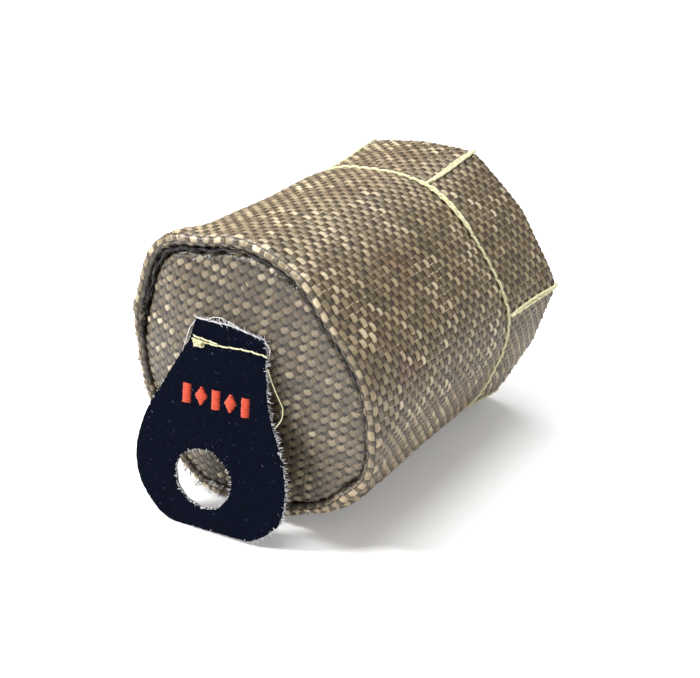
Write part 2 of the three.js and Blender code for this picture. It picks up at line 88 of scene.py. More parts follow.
# Angles in degrees about +X, from +Y (0) over +Z (90), and millimetres from the cup's radius
TIE_ANGLES = [61, 108, 171, 232, 292, 354]
BODY_SHAPE = [
    (27, -0.5), (61, 0.3), (85, -0.5), (108, 0.1), (140, -0.7), (171, 0.9),
    (200, -1), (232, -1), (262, -0.5), (292, -0.2), (322, -0.5), (354, 0),
]
MOUTH_SHAPE = [
    (27, -0.7), (61, 2.4), (85, -0.5), (108, 2.5), (138, -0.9), (171, 2.3),
    (200, -1.9), (232, 1.6), (262, -1.2), (292, 1.6), (322, -0.8), (354, 2),
]
END_SEAM_SHAPE = [
    (0, -5.4), (27, -4.6), (53, -1.2), (75, -3.8), (95, -2.7), (116, -2.6), (137, -4.9),
    (165, -3), (197, -1.8), (215, -4), (245, -6.2), (272, -5), (295, -2.3), (315, -3), (340, -5.2),
]
SIDE_SEAM_ANGLE = 19.4
# How far the wall's cloth stands out round the seam: it tucks under on the lower left
LIP_SHAPE = [
    (0, 0.9), (14, 1.9), (30, 2.8), (60, 3), (150, 2.4), (185, 1.6), (225, 0.8), (290, 0.5), (335, 0.5),
]

# The tab hangs from the middle of its stitch line, in its own plane: u across, v up, w outwards
TAB_YAW, TAB_LEAN = math.radians(8.5), math.radians(9.2)
TAB_STITCH_HEIGHT = 13.4
TAB_SEAT_GAP = 1.3
TAB_TOP = 5.4
TAB_DROP = 51.5
TAB_HOLE = (-6.2, -37, 8.3)

# How finely the cloth is modelled: this many steps across each yarn
STEPS_PER_YARN = 3


# Small helpers


def linear(code):
    """The linear colour, with alpha, of an sRGB hex code."""
    parts = [int(code[i:i + 2], 16) / 255 for i in (1, 3, 5)]
    return tuple(c / 12.92 if c <= 0.04045 else ((c + 0.055) / 1.055) ** 2.4 for c in parts) + (1.0,)


def colour(name, code, text):
    """A colour setting, from an sRGB hex code."""
    return FloatVectorProperty(
        name=name, description=text, subtype="COLOR", size=4, min=0, max=1, default=linear(code)
    )


def length(name, value, text):
    """A length setting, from millimetres."""
    return FloatProperty(name=name, description=text, default=value * MM, min=0, unit="LENGTH", precision=5)


def add_node(tree, kind, inputs=(), **settings):
    """Adds a node. inputs holds nodes, sockets or values, in order or by key, and settings are its properties."""
    node = tree.nodes.new("ShaderNode" + kind)
    for key, value in settings.items():
        setattr(node, key, value)
    for key, value in inputs.items() if isinstance(inputs, dict) else enumerate(inputs):
        if isinstance(value, bpy.types.Node):
            value = next(output for output in value.outputs if output.enabled)
        if isinstance(value, bpy.types.NodeSocket):
            tree.links.new(value, node.inputs[key])
        else:
            node.inputs[key].default_value = value
    return node


def new_material(name):
    """An empty node material and its tree."""
    material = bpy.data.materials.new(name)
    material.use_nodes = True
    material.node_tree.nodes.clear()
    return material, material.node_tree


def mottled(tree, base, source, low, high, dark, light):
    """A colour times a grey: dark where source is below low, and light where it is above high."""
    grey = add_node(tree, "MapRange", (source, low, high, dark, light))
    grey = add_node(tree, "CombineColor", (grey, grey, grey))
    return add_node(tree, "Mix", {0: 1.0, 6: base, 7: grey}, data_type="RGBA", blend_type="MULTIPLY")


def finish_material(material, tint, values, bump=None):
    """Ends a material in its shader. values go to the shader's inputs, and bump is height, strength and distance."""
    tree = material.node_tree
    inputs = {"Base Color": tint, **values}
    if bump:
        inputs["Normal"] = add_node(tree, "Bump", dict(zip(("Height", "Strength", "Distance"), bump)))
    shader = add_node(tree, "BsdfPrincipled", inputs)
    add_node(tree, "OutputMaterial", {"Surface": shader})
    return material


def smooth(t):
    """A soft step from 0 at t = 0 to 1 at t = 1."""
    t = np.clip(t, 0, 1)
    return t * t * (3 - 2 * t)


def between(shape, angle):
    """The entries of a closed shape on either side of each angle, the span in degrees and the way along it."""
    stops = np.array([stop for stop, _ in shape], float)
    values = np.array([value for _, value in shape], float)
    angle = np.mod(angle, 360)
    after = np.searchsorted(stops, angle, side="right") % len(stops)
    before = (after - 1) % len(stops)
    span = np.mod(stops[after] - stops[before], 360)
    along = np.mod(angle - stops[before], 360)
    return values[before], values[after], span, along


def round_shape(shape, angle):
    """Radius at each angle of an outline with soft turns."""
    start, end, span, along = between(shape, angle)
    return CUP_RADIUS + start + (end - start) * smooth(along / span)


def straight_shape(shape, angle):
    """Radius at each angle of an outline with straight sides between its corners."""
    start, end, span, along = between(shape, angle)
    r1, r2 = CUP_RADIUS + start, CUP_RADIUS + end
    total, part = np.radians(span), np.radians(along)
    return r1 * r2 * np.sin(total) / (r1 * np.sin(part) + r2 * np.sin(total - part))


def end_seam_radius(angle):
    """Radius of the closed end's seam, kept a lip's thickness above the floor."""
    to_floor = (AXIS_HEIGHT - LIP_RISE) / np.maximum(0.01, -np.sin(np.radians(angle)))
    return np.minimum(round_shape(END_SEAM_SHAPE, angle), to_floor)


def cup_radius(x, angle):
    """Outside radius of the cup at a place along its axis."""
    body = round_shape(BODY_SHAPE, angle)
    lip = end_seam_radius(angle) + round_shape(LIP_SHAPE, angle) - CUP_RADIUS
    from_end = x - END_X
    swell = SHOULDER_SWELL * np.exp(-((from_end / SHOULDER_LENGTH) ** 2))
    shoulder = lip + (body - lip) * smooth(from_end / SHOULDER_LENGTH)
    flare = smooth((x - RING_X) / RING_FROM_MOUTH)
    mouth = straight_shape(MOUTH_SHAPE, angle)
    return shoulder + (mouth - shoulder) * flare + swell * (1 - flare)


def cup_point(x, angle, depth):
    """A point of the cup, in millimetres. The floor presses the underside flat, with a soft turn into it."""
    y, z = across_cup(cup_radius(x, angle) - depth, angle)
    floor = depth - AXIS_HEIGHT
    turn = 0.5
    z = floor + turn * np.logaddexp(0, (z - floor) / turn)
    return np.stack(np.broadcast_arrays(np.asarray(x, float), y, z), -1)


def across_cup(r, angle):
    """y and z of a radius at an angle in degrees about the cup's axis."""
    return r * np.cos(np.radians(angle)), r * np.sin(np.radians(angle))


def apart(a, b):
    """Distance round the cup, in millimetres, between two angles in degrees."""
    return np.radians(np.abs(np.mod(np.asarray(a) - b + 180, 360) - 180)) * CUP_RADIUS


def end_front(y, z):
    """x of the closed end's cloth: it bulges out, and more on its +Y side."""
    angle = np.degrees(np.arctan2(z, y))
    share = np.minimum(np.hypot(y, z) / end_seam_radius(angle), 1)
    skew = np.clip(1 + END_BULGE_SKEW * y, LEAST_SKEW, MOST_SKEW)
    return END_X - END_BULGE * (1 - share**2) * skew


def wall_shift(x, angle):
    """How far the wall's cloth stands out: wrinkles, dents, the side seam's ridge and the pull of stitches."""
    x, angle = np.broadcast_arrays(np.asarray(x, float), np.asarray(angle, float))
    base = cup_point(x, angle, 0)
    # Each noise is times its height in millimetres. Wrinkles are longer along the cup than round it.
    stretched = base * np.array([0.45, 1.0, 1.0])
    near_end = 1 - smooth((x - END_X) / 16)
    wrinkles = near_end * 0.75 * cloudiness(stretched, 6.5, 3)
    near_ring = np.exp(-((np.abs(x - RING_X) / 5.5) ** 2))
    ring_wrinkles = near_ring * 0.3 * cloudiness(stretched, 4, 7)
    dents = 0.55 * cloudiness(base, 22, 5) * smooth((x - END_X) / 12)
    reach = apart(angle, SIDE_SEAM_ANGLE)
    ridge = 0.9 * np.exp(-((reach / 2.4) ** 2)) * (1 - smooth((x - RING_X + 4) / 4))
    from_ring = x - RING_X
    ring = 0.5 * np.exp(-((from_ring / 1.0) ** 2)) + 0.6 * np.exp(-((from_ring / 4.5) ** 2))
    ties = np.zeros_like(x)
    past_ring = smooth(from_ring / 2)
    for tie in TIE_ANGLES:
        reach = apart(angle, tie)
        pull = 0.4 * np.exp(-((reach / 1.0) ** 2)) + 0.3 * np.exp(-((reach / 3.2) ** 2))
        ties = np.maximum(ties, pull * past_ring)
    return wrinkles + ring_wrinkles + dents + ridge - np.maximum(ring, ties)


def cloudiness(points, scale, seed):
    """Soft noise at each point, about -1 to 1, with features of the given size in millimetres."""
    shift = Vector((seed * 17.3, seed * 9.1, seed * 5.7))
    flat = points.reshape(-1, 3)
    values = [noise.noise(Vector(p) / scale + shift) for p in flat.tolist()]
    return np.array(values).reshape(points.shape[:-1])


def unit(vectors):
    return vectors / np.maximum(np.linalg.norm(vectors, axis=-1, keepdims=True), 1e-9)


def grid_normals(points):
    """Unit normals of a grid of points that closes on itself along its second axis."""
    around = np.roll(points, -1, axis=1) - np.roll(points, 1, axis=1)
    return unit(np.cross(around, np.gradient(points, axis=0)))


def make_object(name, points, faces, material, uvs=None):
    """A mesh object at the origin from points in millimetres. uvs holds one pair for each corner."""
    mesh = bpy.data.meshes.new(name)
    mesh.from_pydata((np.asarray(points) * MM).tolist(), [], [list(f) for f in faces])
    if uvs is not None:
        layer = mesh.uv_layers.new(name="weave")
        layer.uv.foreach_set("vector", np.asarray(uvs, np.float32).ravel())
    mesh.materials.append(material)
    mesh.validate()
    mesh.polygons.foreach_set("use_smooth", [True] * len(mesh.polygons))
    mesh.update()
    piece = bpy.data.objects.new(name, mesh)
    bpy.context.collection.objects.link(piece)
    return piece


def finish_piece(piece, slot, *nodes):
    """Gives a piece its body, and hides the CAD nodes that it stands for, if any. slot is not used."""
    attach(piece, BODY)
    if nodes:
        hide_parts(*nodes)


def paint_seam_shade(piece, amounts):
    """Paints shade, 0 to 1, into each point of a cloth where it sinks into the seam's groove."""
    layer = piece.data.attributes.new("painted_seam_shade", "FLOAT", "POINT")
    layer.data.foreach_set("value", np.clip(amounts, 0, 1).astype(np.float32).ravel())


def cut(shape, direction, places):
    """Cuts a flat shape along lines square to a direction, at each of these places along it."""
    normal = Vector((*direction, 0))
    for place in places:
        bmesh.ops.bisect_plane(
            shape, geom=shape.verts[:] + shape.edges[:] + shape.faces[:],
            plane_co=normal * place, plane_no=normal, dist=1e-5,
        )


def flat_mesh(shape):
    """Corners (n, 2) and faces of a flat shape, which is then freed."""
    shape.verts.index_update()
    flat = np.array([v.co[:2] for v in shape.verts])
    faces = [[v.index for v in f.verts] for f in shape.faces]
    shape.free()
    return flat, faces


def thicken(piece, thickness, rim=0):
    """Turns a sheet's faces to the closed end's side and gives it a thickness behind them."""
    if piece.data.polygons[0].normal.x > 0:
        piece.data.flip_normals()
    shell = piece.modifiers.new("thickness", "SOLIDIFY")
    shell.thickness, shell.offset, shell.material_offset_rim = thickness, -1, rim
    bpy.ops.object.select_all(action="DESELECT")
    piece.select_set(True)
    bpy.context.view_layer.objects.active = piece
    bpy.ops.object.modifier_apply(modifier=shell.name)


def band(name, rows, material, closed=True, weave=None):
    """A tube-like mesh from rows of points that each go once round the cup. weave holds each point's UV."""
    rows = np.asarray(rows)
    count, columns = rows.shape[:2]
    i, j = np.meshgrid(np.arange(count if closed else count - 1), np.arange(columns), indexing="ij")
    nexti, nextj = (i + 1) % count, (j + 1) % columns
    quads = np.stack([i * columns + j, i * columns + nextj, nexti * columns + nextj, nexti * columns + j], -1)
    if weave is None:
        weave = np.stack(np.broadcast_arrays(np.arange(columns, dtype=float), np.arange(count)[:, None]), -1)
    turn = weave[0, -1, 0] - weave[0, 0, 0]
    wrapped = np.concatenate([weave, weave[:, :1] + (turn + turn / (columns - 1), 0)], 1)
    last = np.minimum(i + 1, count - 1)
    uvs = np.stack([wrapped[i, j], wrapped[i, j + 1], wrapped[last, j + 1], wrapped[last, j]], -2)
    piece = make_object(name, rows.reshape(-1, 3), quads.reshape(-1, 4), material, uvs.reshape(-1, 2))
    face_outwards(piece)
    return piece


def face_outwards(piece):
    """Turns a closed mesh's faces outwards by the sign of its volume."""
    shape = bmesh.new()
    shape.from_mesh(piece.data)
    if shape.calc_volume(signed=True) < 0:
        bmesh.ops.reverse_faces(shape, faces=shape.faces[:])
        shape.to_mesh(piece.data)
    shape.free()


# The woven cloth


def weave_steps(across, along, relief):
    """Plain weave for steps counted across two sets of yarns: height in mm, and shifts in steps both ways.

    Each float is flat and wide across its yarn and arched along it. Every third step is where two yarns
    meet: it lies low, and lower still at the corner of four crossings. The floats that run along the first
    axis are wider and stand higher.
    """
    step_u, step_v = across % STEPS_PER_YARN, along % STEPS_PER_YARN
    parity = (across // STEPS_PER_YARN + along // STEPS_PER_YARN) % 2
    runs_v = parity == 1
    low = (step_u == 0) | (step_v == 0)
    plateau = np.where(runs_v, 0.55, 1.0)
    height = np.where((step_u == 0) & (step_v == 0), -0.15, np.where(low, 0.0, plateau)) * relief
    spread, lap = 0.4, 0.2
    shift_u = np.where(~low & runs_v, np.where(step_u == 1, -spread, spread), 0.0)
    shift_v = np.where(~low & ~runs_v, np.where(step_v == 1, -spread, spread), 0.0)
    shift_u = np.where((step_u == 0) & (step_v != 0), np.where(runs_v, lap, -lap), shift_u)
    shift_v = np.where((step_v == 0) & (step_u != 0), np.where(runs_v, lap, -lap), shift_v)
    return height, shift_u, shift_v


def woven_material(name, settings, lit_round_yarn, shaded_long_yarn, gap, dive_shade, closed_hole):
    """Plain-woven rock-fibre roving: flat, glossy filament bundles of one fibre, painted cream where they run round
    (painted sheen) and brown along (painted shade).

    The fibres' gloss follows each float, so that the arched ones glint along one line. gap is where the painted-dark
    holes between yarns start, in yarns from a float's middle. dive_shade is how dark the painted shade at the ends
    of long floats is, and closed_hole how dark the painted shade in every second hole is.
    """
    material, tree = new_material(name)
    uv = add_node(tree, "UVMap", uv_map="weave")
    yarns = add_node(tree, "SeparateXYZ", (uv,)).outputs
    nearest, cell, part = (
        [add_node(tree, "Math", (yarns[axis],), operation=kind) for axis in (0, 1)]
        for kind in ("ROUND", "FLOOR", "FRACT")
    )
    from_middle = [add_node(tree, "Math", (one, 0.5), operation="SUBTRACT") for one in part]
    aside = [add_node(tree, "Math", (one,), operation="ABSOLUTE") for one in from_middle]
    both = add_node(tree, "Math", cell, operation="ADD")
    runs_long = add_node(tree, "Math", (both, 2.0), operation="FLOORED_MODULO")

    # Masks that change between two distances from a float's middle, in yarns round the cup (0) or along it (1).
    # Round floats are longer than their cell: they lap over both sides of the long floats beside them.
    inside, beside, middle, ends, sides, far_u, far_v = (
        add_node(tree, "MapRange", (aside[axis], *span))
        for axis, *span in (
            (0, 0.36, 0.385, 1.0, 0.0), (1, 0.455, 0.475, 0.0, 1.0), (1, 0.22, 0.42, 1.0, 0.0),
            (1, 0.26, 0.46, 0.0, dive_shade), (0, 0.24, 0.38, 0.0, dive_shade / 2),
            (0, gap, gap + 0.03, 0.0, 1.0), (1, gap + 0.05, gap + 0.08, 0.0, 1.0),
        )
    )
    long_float = add_node(tree, "Mix", {0: runs_long, 2: beside, 3: inside}, data_type="FLOAT")

    # One shade for each float and one for each whole yarn
    crossing = add_node(tree, "CombineXYZ", cell)
    float_shade = add_node(tree, "TexWhiteNoise", (crossing,), noise_dimensions="3D")
    far_cell = add_node(tree, "Math", (cell[0], 500.0), operation="ADD")
    yarn = add_node(tree, "Mix", {0: runs_long, 2: cell[1], 3: far_cell}, data_type="FLOAT")
    yarn_shade = add_node(tree, "TexWhiteNoise", {1: yarn}, noise_dimensions="1D")

    # Filaments: fine streaks along each float
    streaks = []
    for scale in ((0.9, 9.0, 1.0), (9.0, 0.9, 1.0)):
        stretched = add_node(tree, "Mapping", {0: uv, 3: scale})
        streaks.append(add_node(tree, "TexNoise", {0: stretched, 2: 1.0, 3: 2.0, 4: 0.6}, noise_dimensions="2D"))
    streak = add_node(tree, "Mix", {0: runs_long, 2: streaks[0], 3: streaks[1]}, data_type="FLOAT")

    # Cream and brown yarns, one fibre with painted sheen and painted shade, stained in soft patches
    base = add_node(tree, "Mix", {0: long_float, 6: lit_round_yarn, 7: shaded_long_yarn}, data_type="RGBA")
    place = add_node(tree, "TexCoord").outputs["Object"]
    for scale, low, high, stain in (
        (70.0, 0.56, 0.74, settings.red_patch), (45.0, 0.48, 0.75, settings.olive_patch)
    ):
        patches = add_node(tree, "TexNoise", {0: place, 2: scale, 3: 2.0})
        mask = add_node(tree, "MapRange", (patches, low, high, 0.0, 0.6))
        base = add_node(tree, "Mix", {0: mask, 6: base, 7: stain}, data_type="RGBA", blend_type="MULTIPLY")
    shade = add_node(tree, "Math", (float_shade, 0.75, 0.62), operation="MULTIPLY_ADD")
    for source, spread, least in ((yarn_shade, 0.24, 0.88), (streak, 1.1, 0.45)):
        factor = add_node(tree, "Math", (source, spread, least), operation="MULTIPLY_ADD")
        shade = add_node(tree, "Math", (shade, factor), operation="MULTIPLY")
    grey = add_node(tree, "CombineColor", (shade, shade, shade))
    base = add_node(tree, "Mix", {0: 1.0, 6: base, 7: grey}, data_type="RGBA", blend_type="MULTIPLY")

    # Painted highlight: here and there a round float is painted cream where its filaments catch the light, bunched
    # in bright patches
    glint = add_node(tree, "MapRange", (float_shade, 0.55, 0.9, 0.0, 0.9))
    bright = add_node(tree, "TexNoise", {0: place, 2: 55.0, 3: 1.0})
    bright = add_node(tree, "MapRange", (bright, 0.45, 0.62, 0.12, 1.0))
    matt = add_node(tree, "Math", (1.0, long_float), operation="SUBTRACT")
    for factor in (bright, middle, matt):
        glint = add_node(tree, "Math", (glint, factor), operation="MULTIPLY")
    base = add_node(tree, "Mix", {0: glint, 6: base, 7: settings.glint}, data_type="RGBA")

    # Painted shade: long floats darken towards their ends and sides as they dive, and the holes at the corners
    # between four crossings are painted near-black
    dive = add_node(tree, "Math", (ends, sides), operation="MAXIMUM")
    dark = add_node(tree, "Math", (dive, long_float), operation="MULTIPLY")
    crossings = add_node(tree, "Math", nearest, operation="ADD")
    odd = add_node(tree, "Math", (crossings, 2.0), operation="FLOORED_MODULO")
    open_hole = add_node(tree, "Math", (odd, 1 - closed_hole, closed_hole), operation="MULTIPLY_ADD")
    hole = far_u
    for factor in (far_v, open_hole):
        hole = add_node(tree, "Math", (hole, factor), operation="MULTIPLY")
    # Painted shade where the cloth sinks into the seam's groove
    painted_seam_shade = add_node(tree, "Attribute", attribute_name="painted_seam_shade").outputs["Fac"]
    painted_seam_shade = add_node(tree, "Math", (painted_seam_shade, 0.93), operation="MULTIPLY")
    for darkness in (hole, painted_seam_shade):
        dark = add_node(tree, "Math", (dark, darkness), operation="MAXIMUM")
    base = add_node(tree, "Mix", {0: dark, 6: base, 7: settings.gap_shade}, data_type="RGBA")
    turn = add_node(tree, "Mix", {0: runs_long, 2: 0.25, 3: 0.0}, data_type="FLOAT")
    fibre = add_node(tree, "Tangent", direction_type="UV_MAP", uv_map="weave")

    # Height in parts of a millimetre: bundles stand over the ones that dive
    step = add_node(tree, "Math", (long_float, -0.3), operation="MULTIPLY")
    lines = add_node(tree, "Math", (streak, 0.25, step), operation="MULTIPLY_ADD")
    height = add_node(tree, "Math", (dark, -0.35, lines), operation="MULTIPLY_ADD")
    gloss = {
        "Roughness": 0.34, "IOR": 1.55, "Specular IOR Level": 0.75, "Anisotropic": 0.75,
        "Anisotropic Rotation": turn, "Tangent": fibre,
    }
    return finish_material(material, base, gloss, (height, 0.8, 0.0005))


def along(points, closed=False):
    """A polyline's points, closed if asked, and how far along it each of them is."""
    points = np.asarray(points, float)
    if closed:
        points = np.concatenate([points, points[:1]])
    steps = np.linalg.norm(np.diff(points, axis=0), axis=1)
    return points, np.concatenate([[0], np.cumsum(steps)])


def at_marks(points, total, marks):
    return np.stack([np.interp(marks, total, column) for column in points.T], -1)


def profile(points, step):
    """Points every step along a polyline, with the distance of each from its start."""
    points, total = along(points)
    marks = np.arange(0, total[-1], step)
    return at_marks(points, total, marks), marks


def half_oval(middle_x, reach, near, far, steps=14):
    """Points of a half oval from depth near to depth far, reaching out along x."""
    turn = np.linspace(0, math.pi, steps)
    depth = near + (far - near) * (1 - np.cos(turn)) / 2
    return np.stack([middle_x + reach * np.sin(turn), depth], -1)


class ClothSettings(bpy.types.PropertyGroup):
    yarns_round: IntProperty(
        name="Yarns round", description="Lengthwise yarns side by side round the cup", default=126, min=40
    )
    pick: length("Pick", 1.74, "Distance between yarns that run round the cup")
    relief: length("Relief", 0.33, "How far a float stands above the line where it dips")
    sway: length("Sway", 0.32, "How far yarns wander from straight")
    end_pick: length("End pick", 1.95, "Distance between yarns of the closed end's cloth")
    # Painted light: both sets of yarns are one fibre; the round ones are painted lighter for their sheen and the
    # long ones darker for shade
    lit_round_yarn: colour("Round yarn", "#988668", "Yarns that run round the cup")
    shaded_long_yarn: colour("Long yarn", "#5b4b32", "Yarns that run along the cup")
    # Painted shade: the closed end's yarns are the same fibre, painted darker for the shade on the closed end
    shaded_end_yarn: colour("End yarn", "#6f614b", "Glossier yarns of the closed end")
    shaded_end_cross_yarn: colour("End cross yarn", "#5a4d39", "The yarns that cross them")
    # Painted highlight on the round floats
    glint: colour("Glint", "#e6d6b4", "Filaments that catch the light")
    red_patch: colour("Red patch", "#d6ab96", "Stain of the warmer patches")
    olive_patch: colour("Olive patch", "#b9b38c", "Stain of the greener patches")
    # Painted shade: the near-black of holes, of long floats' diving ends and of the seam's groove
    gap_shade: colour("Gap", "#140e0a", "Between the yarns")
    lining: colour("Lining", "#bdb6a6", "Glass cloth of the lining")
    mat: colour("Mat", "#d9d2be", "Needled mat of the padding")


class BLANKET_OT_wall_cloth(bpy.types.Operator):
    """Outer cloth of the wall, with its rolled lip, turned-in hem and puckers"""
    bl_idname = "blanket.wall_cloth"
    bl_label = "Wall cloth"

    def execute(self, context):
        cloth = context.scene.blanket_cloth
        pick = cloth.pick / MM
        step = pick / STEPS_PER_YARN
        columns = cloth.yarns_round * STEPS_PER_YARN
        angles = np.arange(columns) * 360 / columns

        outside, marks = profile(np.concatenate([
            [(END_X + 1.6, LIP_RISE)],
            half_oval(END_X, -LIP_REACH, LIP_RISE, 0),
            [(END_X + 1, 0), (FOLD_X, 0)],
            half_oval(FOLD_X, CLOTH + 0.4, 0, HEM_BASE),
            [(RING_X - HEM_PAST_RING, HEM_BASE)],
        ]), step)
        # x and depth: the turned-in hem's inner face, then back to the lip under the cloth, where nothing shows
        inside = np.array([
            (RING_X - HEM_PAST_RING - 0.3, HEM_BASE - CLOTH / 2), (RING_X - HEM_PAST_RING, HEM_TOP),
            (RING_X + 10, HEM_TOP), (FOLD_X - 0.4, HEM_TOP), (FOLD_X - 0.4, 2.2),
            (MOUTH_X - 4, 2.8), (RING_X + 4, 3.2), (RING_X, 3.2), (RING_X - 4, 3.2), (RING_X - 12, 2.6),
            (END_X + 20, 2.4), (END_X + 8, 2.4), (END_X + 3, 2.6), (END_X + 2.6, LIP_RISE + 0.4),
        ])
        line = np.concatenate([outside, inside])
        x = line[:, 0][:, None]
        depth = line[:, 1][:, None]
        a = angles[None, :]
        woven = len(outside)
        base = cup_point(x, a, depth)

        # Wrinkles and stitches move the outside, and the turned-in part follows them less
        outer = 1 - 0.9 * smooth((depth - 0.1) / LIP_RISE)
        shift = np.zeros((len(line), columns))
        shift[:woven] = wall_shift(x[:woven], a) * outer[:woven]
        under = woven + np.flatnonzero(line[woven:, 1] < LIP_RISE + 1)
        shift[under] = np.minimum(0, wall_shift(x[under], a))

        # Plain weave on every row that can be seen
        i = np.arange(woven)[:, None]
        j = np.arange(columns)[None, :]
        height, shift_u, shift_v = weave_steps(j, i, cloth.relief / MM)
        normals = grid_normals(base)
        if np.sum(normals[woven // 3, :, 1:] * base[woven // 3, :, 1:]) < 0:
            normals = -normals
        shift[:woven] += height + np.where(height > 0, 0.1, 0) * cloudiness(base[:woven], 1.2, 4)
        points = base + normals * shift[..., None]

        # Floats are flat and wide, and the yarns wander a little
        around = (np.roll(base, -1, axis=1) - np.roll(base, 1, axis=1)) / 2
        lengthways = np.gradient(base, axis=0)
        wander = cloth.sway / MM / step
        sway_u = wander * cloudiness(base[:woven] * (0.3, 1, 1), 5, 1)
        sway_v = wander * cloudiness(base[:woven] * (1, 0.4, 0.4), 6, 2)
        points[:woven] += (shift_u + sway_u)[..., None] * around[:woven]
        points[:woven] += (shift_v + sway_v)[..., None] * lengthways[:woven]
        points[..., 2] = np.maximum(points[..., 2], -AXIS_HEIGHT + 0.02)

        weave = np.zeros(points.shape[:2] + (2,))
        weave[:woven, :, 0] = (j + shift_u) / STEPS_PER_YARN
        weave[:woven, :, 1] = (i + shift_v) / STEPS_PER_YARN
        weave[woven:] = weave[woven - 1]
        cover = woven_material("woven_rock_fibre", cloth, cloth.lit_round_yarn, cloth.shaded_long_yarn, 0.35, 0.92, 0.4)
        piece = band("wall_cloth", points, cover, weave=weave)
        # Painted shade on the lip's inner side, where the cloth sinks into the seam's groove
        lip = (x < END_X + 1.7) & (np.arange(len(line))[:, None] < woven)
        ragged = 0.55 * cloudiness(base, 2.2, 41)
        paint_seam_shade(piece, np.where(lip, smooth((depth - 1.9) / 0.8 + ragged), 0))
        finish_piece(piece, "woven_cloth", "outer_wall")
        return {"FINISHED"}


class BLANKET_OT_end_cloth(bpy.types.Operator):
    """Outer cloth of the closed end: a woven disc that bulges, its edge drawn down into the seam"""
    bl_idname = "blanket.end_cloth"
    bl_label = "End cloth"

    def execute(self, context):
        cloth = context.scene.blanket_cloth
        step = cloth.end_pick / MM / STEPS_PER_YARN
        turn = math.radians(END_GRAIN_TURN)
        grain_a = np.array([math.cos(turn), math.sin(turn)])
        grain_b = np.array([-math.sin(turn), math.cos(turn)])

        # A flat outline, cut by every line of the weave's grid
        shape = bmesh.new()
        angles = np.arange(0, 360, 2.0)
        rim = zip(*across_cup(end_seam_radius(angles) - END_INSET, angles))
        shape.faces.new([shape.verts.new((y, z, 0)) for y, z in rim])
        for grain in (grain_a, grain_b):
            cut(shape, grain, np.arange(-CUP_RADIUS, CUP_RADIUS, step))
        flat, faces = flat_mesh(shape)

        y, z = flat[:, 0], flat[:, 1]
        angle = np.degrees(np.arctan2(z, y))
        inside = end_seam_radius(angle) - END_INSET - np.hypot(y, z)
        grid_a = (flat @ grain_a + CUP_RADIUS) / step
        grid_b = (flat @ grain_b + CUP_RADIUS) / step
        near_a, near_b = np.round(grid_a).astype(int), np.round(grid_b).astype(int)
        height, shift_a, shift_b = weave_steps(near_a, near_b, cloth.relief / MM)
        off_grid = (np.abs(grid_a - near_a) > 0.05) | (np.abs(grid_b - near_b) > 0.05)
        height = np.where(off_grid, 0, height) * smooth(inside / 1.5)
        shift_a, shift_b = (np.where(off_grid | (inside < 0.5), 0, shift) for shift in (shift_a, shift_b))
        base = np.stack([end_front(y, z), y, z], -1)
        seam_depth, seam_width = 1.3, 0.7
        dip = seam_depth * np.exp(-(np.maximum(inside, 0) / seam_width) ** 1.4)
        dents = 0.35 * cloudiness(base, 14, 8) + 0.28 * cloudiness(base, 6, 9) * (1 - smooth(inside / 9))
        floats = cloudiness(base, 1.2, 11) * 0.08
        x = base[:, 0] - height - floats + dip - dents
        sway = cloth.sway / MM / step * smooth(inside / 1.5)
        moved_a = (shift_a + sway * cloudiness(base, 5, 12)) * step
        moved_b = (shift_b + sway * cloudiness(base, 5, 13)) * step
        moved = flat + moved_a[:, None] * grain_a + moved_b[:, None] * grain_b
        points = np.stack([x, moved[:, 0], moved[:, 1]], -1)
        grid = np.stack([grid_a + shift_a, grid_b + shift_b], -1) / STEPS_PER_YARN
        uvs = [grid[k] for face in faces for k in face]
        cover = woven_material("woven_rock_fibre_end", cloth, cloth.shaded_end_yarn, cloth.shaded_end_cross_yarn, 0.22, 0.55, 0.12)
        piece = make_object("end_cloth", points, faces, cover, uvs)
        # Painted shade along the edge, where the cloth is drawn down into the seam's groove
        paint_seam_shade(piece, 1 - smooth((inside - 0.3 - 0.9 * cloudiness(base, 2.2, 42)) / 0.7))
        thicken(piece, CLOTH * MM)
        finish_piece(piece, "woven_cloth", "outer_end")
        return {"FINISHED"}


# The hidden layers


def mat_material(settings):
    """Needled fibre mat: matt off-white felt, with lumps and short fibres."""
    material, tree = new_material("needled_mat")
    place = add_node(tree, "TexCoord").outputs["Object"]
    lumps = add_node(tree, "TexNoise", {"Vector": place, "Scale": 400.0, "Detail": 4.0})
    fuzz = add_node(tree, "TexNoise", {"Vector": place, "Scale": 1600.0, "Detail": 3.0, "Distortion": 1.5})
    tint = mottled(tree, settings.mat, lumps, 0.3, 0.7, 0.75, 1.05)
    return finish_material(material, tint, {"Roughness": 0.95, "Sheen Weight": 0.3}, (fuzz, 0.6, 0.0003))


def lining_material(settings):
    """Thin woven glass cloth: pale grey, fine plain weave with a soft gloss."""
    material, tree = new_material("woven_glass_lining")
    uv = add_node(tree, "UVMap", uv_map="weave")
    darker = tuple(c * 0.72 for c in settings.lining[:3]) + (1.0,)
    threads = add_node(tree, "TexChecker", {"Vector": uv, "Color1": settings.lining, "Color2": darker, "Scale": 1.0})
    place = add_node(tree, "TexCoord").outputs["Object"]
    grime = add_node(tree, "TexNoise", {"Vector": place, "Scale": 60.0, "Detail": 4.0})
    tint = mottled(tree, threads, grime, 0.35, 0.7, 0.82, 1.05)
    return finish_material(material, tint, {"Roughness": 0.6}, (threads.outputs[1], 0.35, 0.0002))


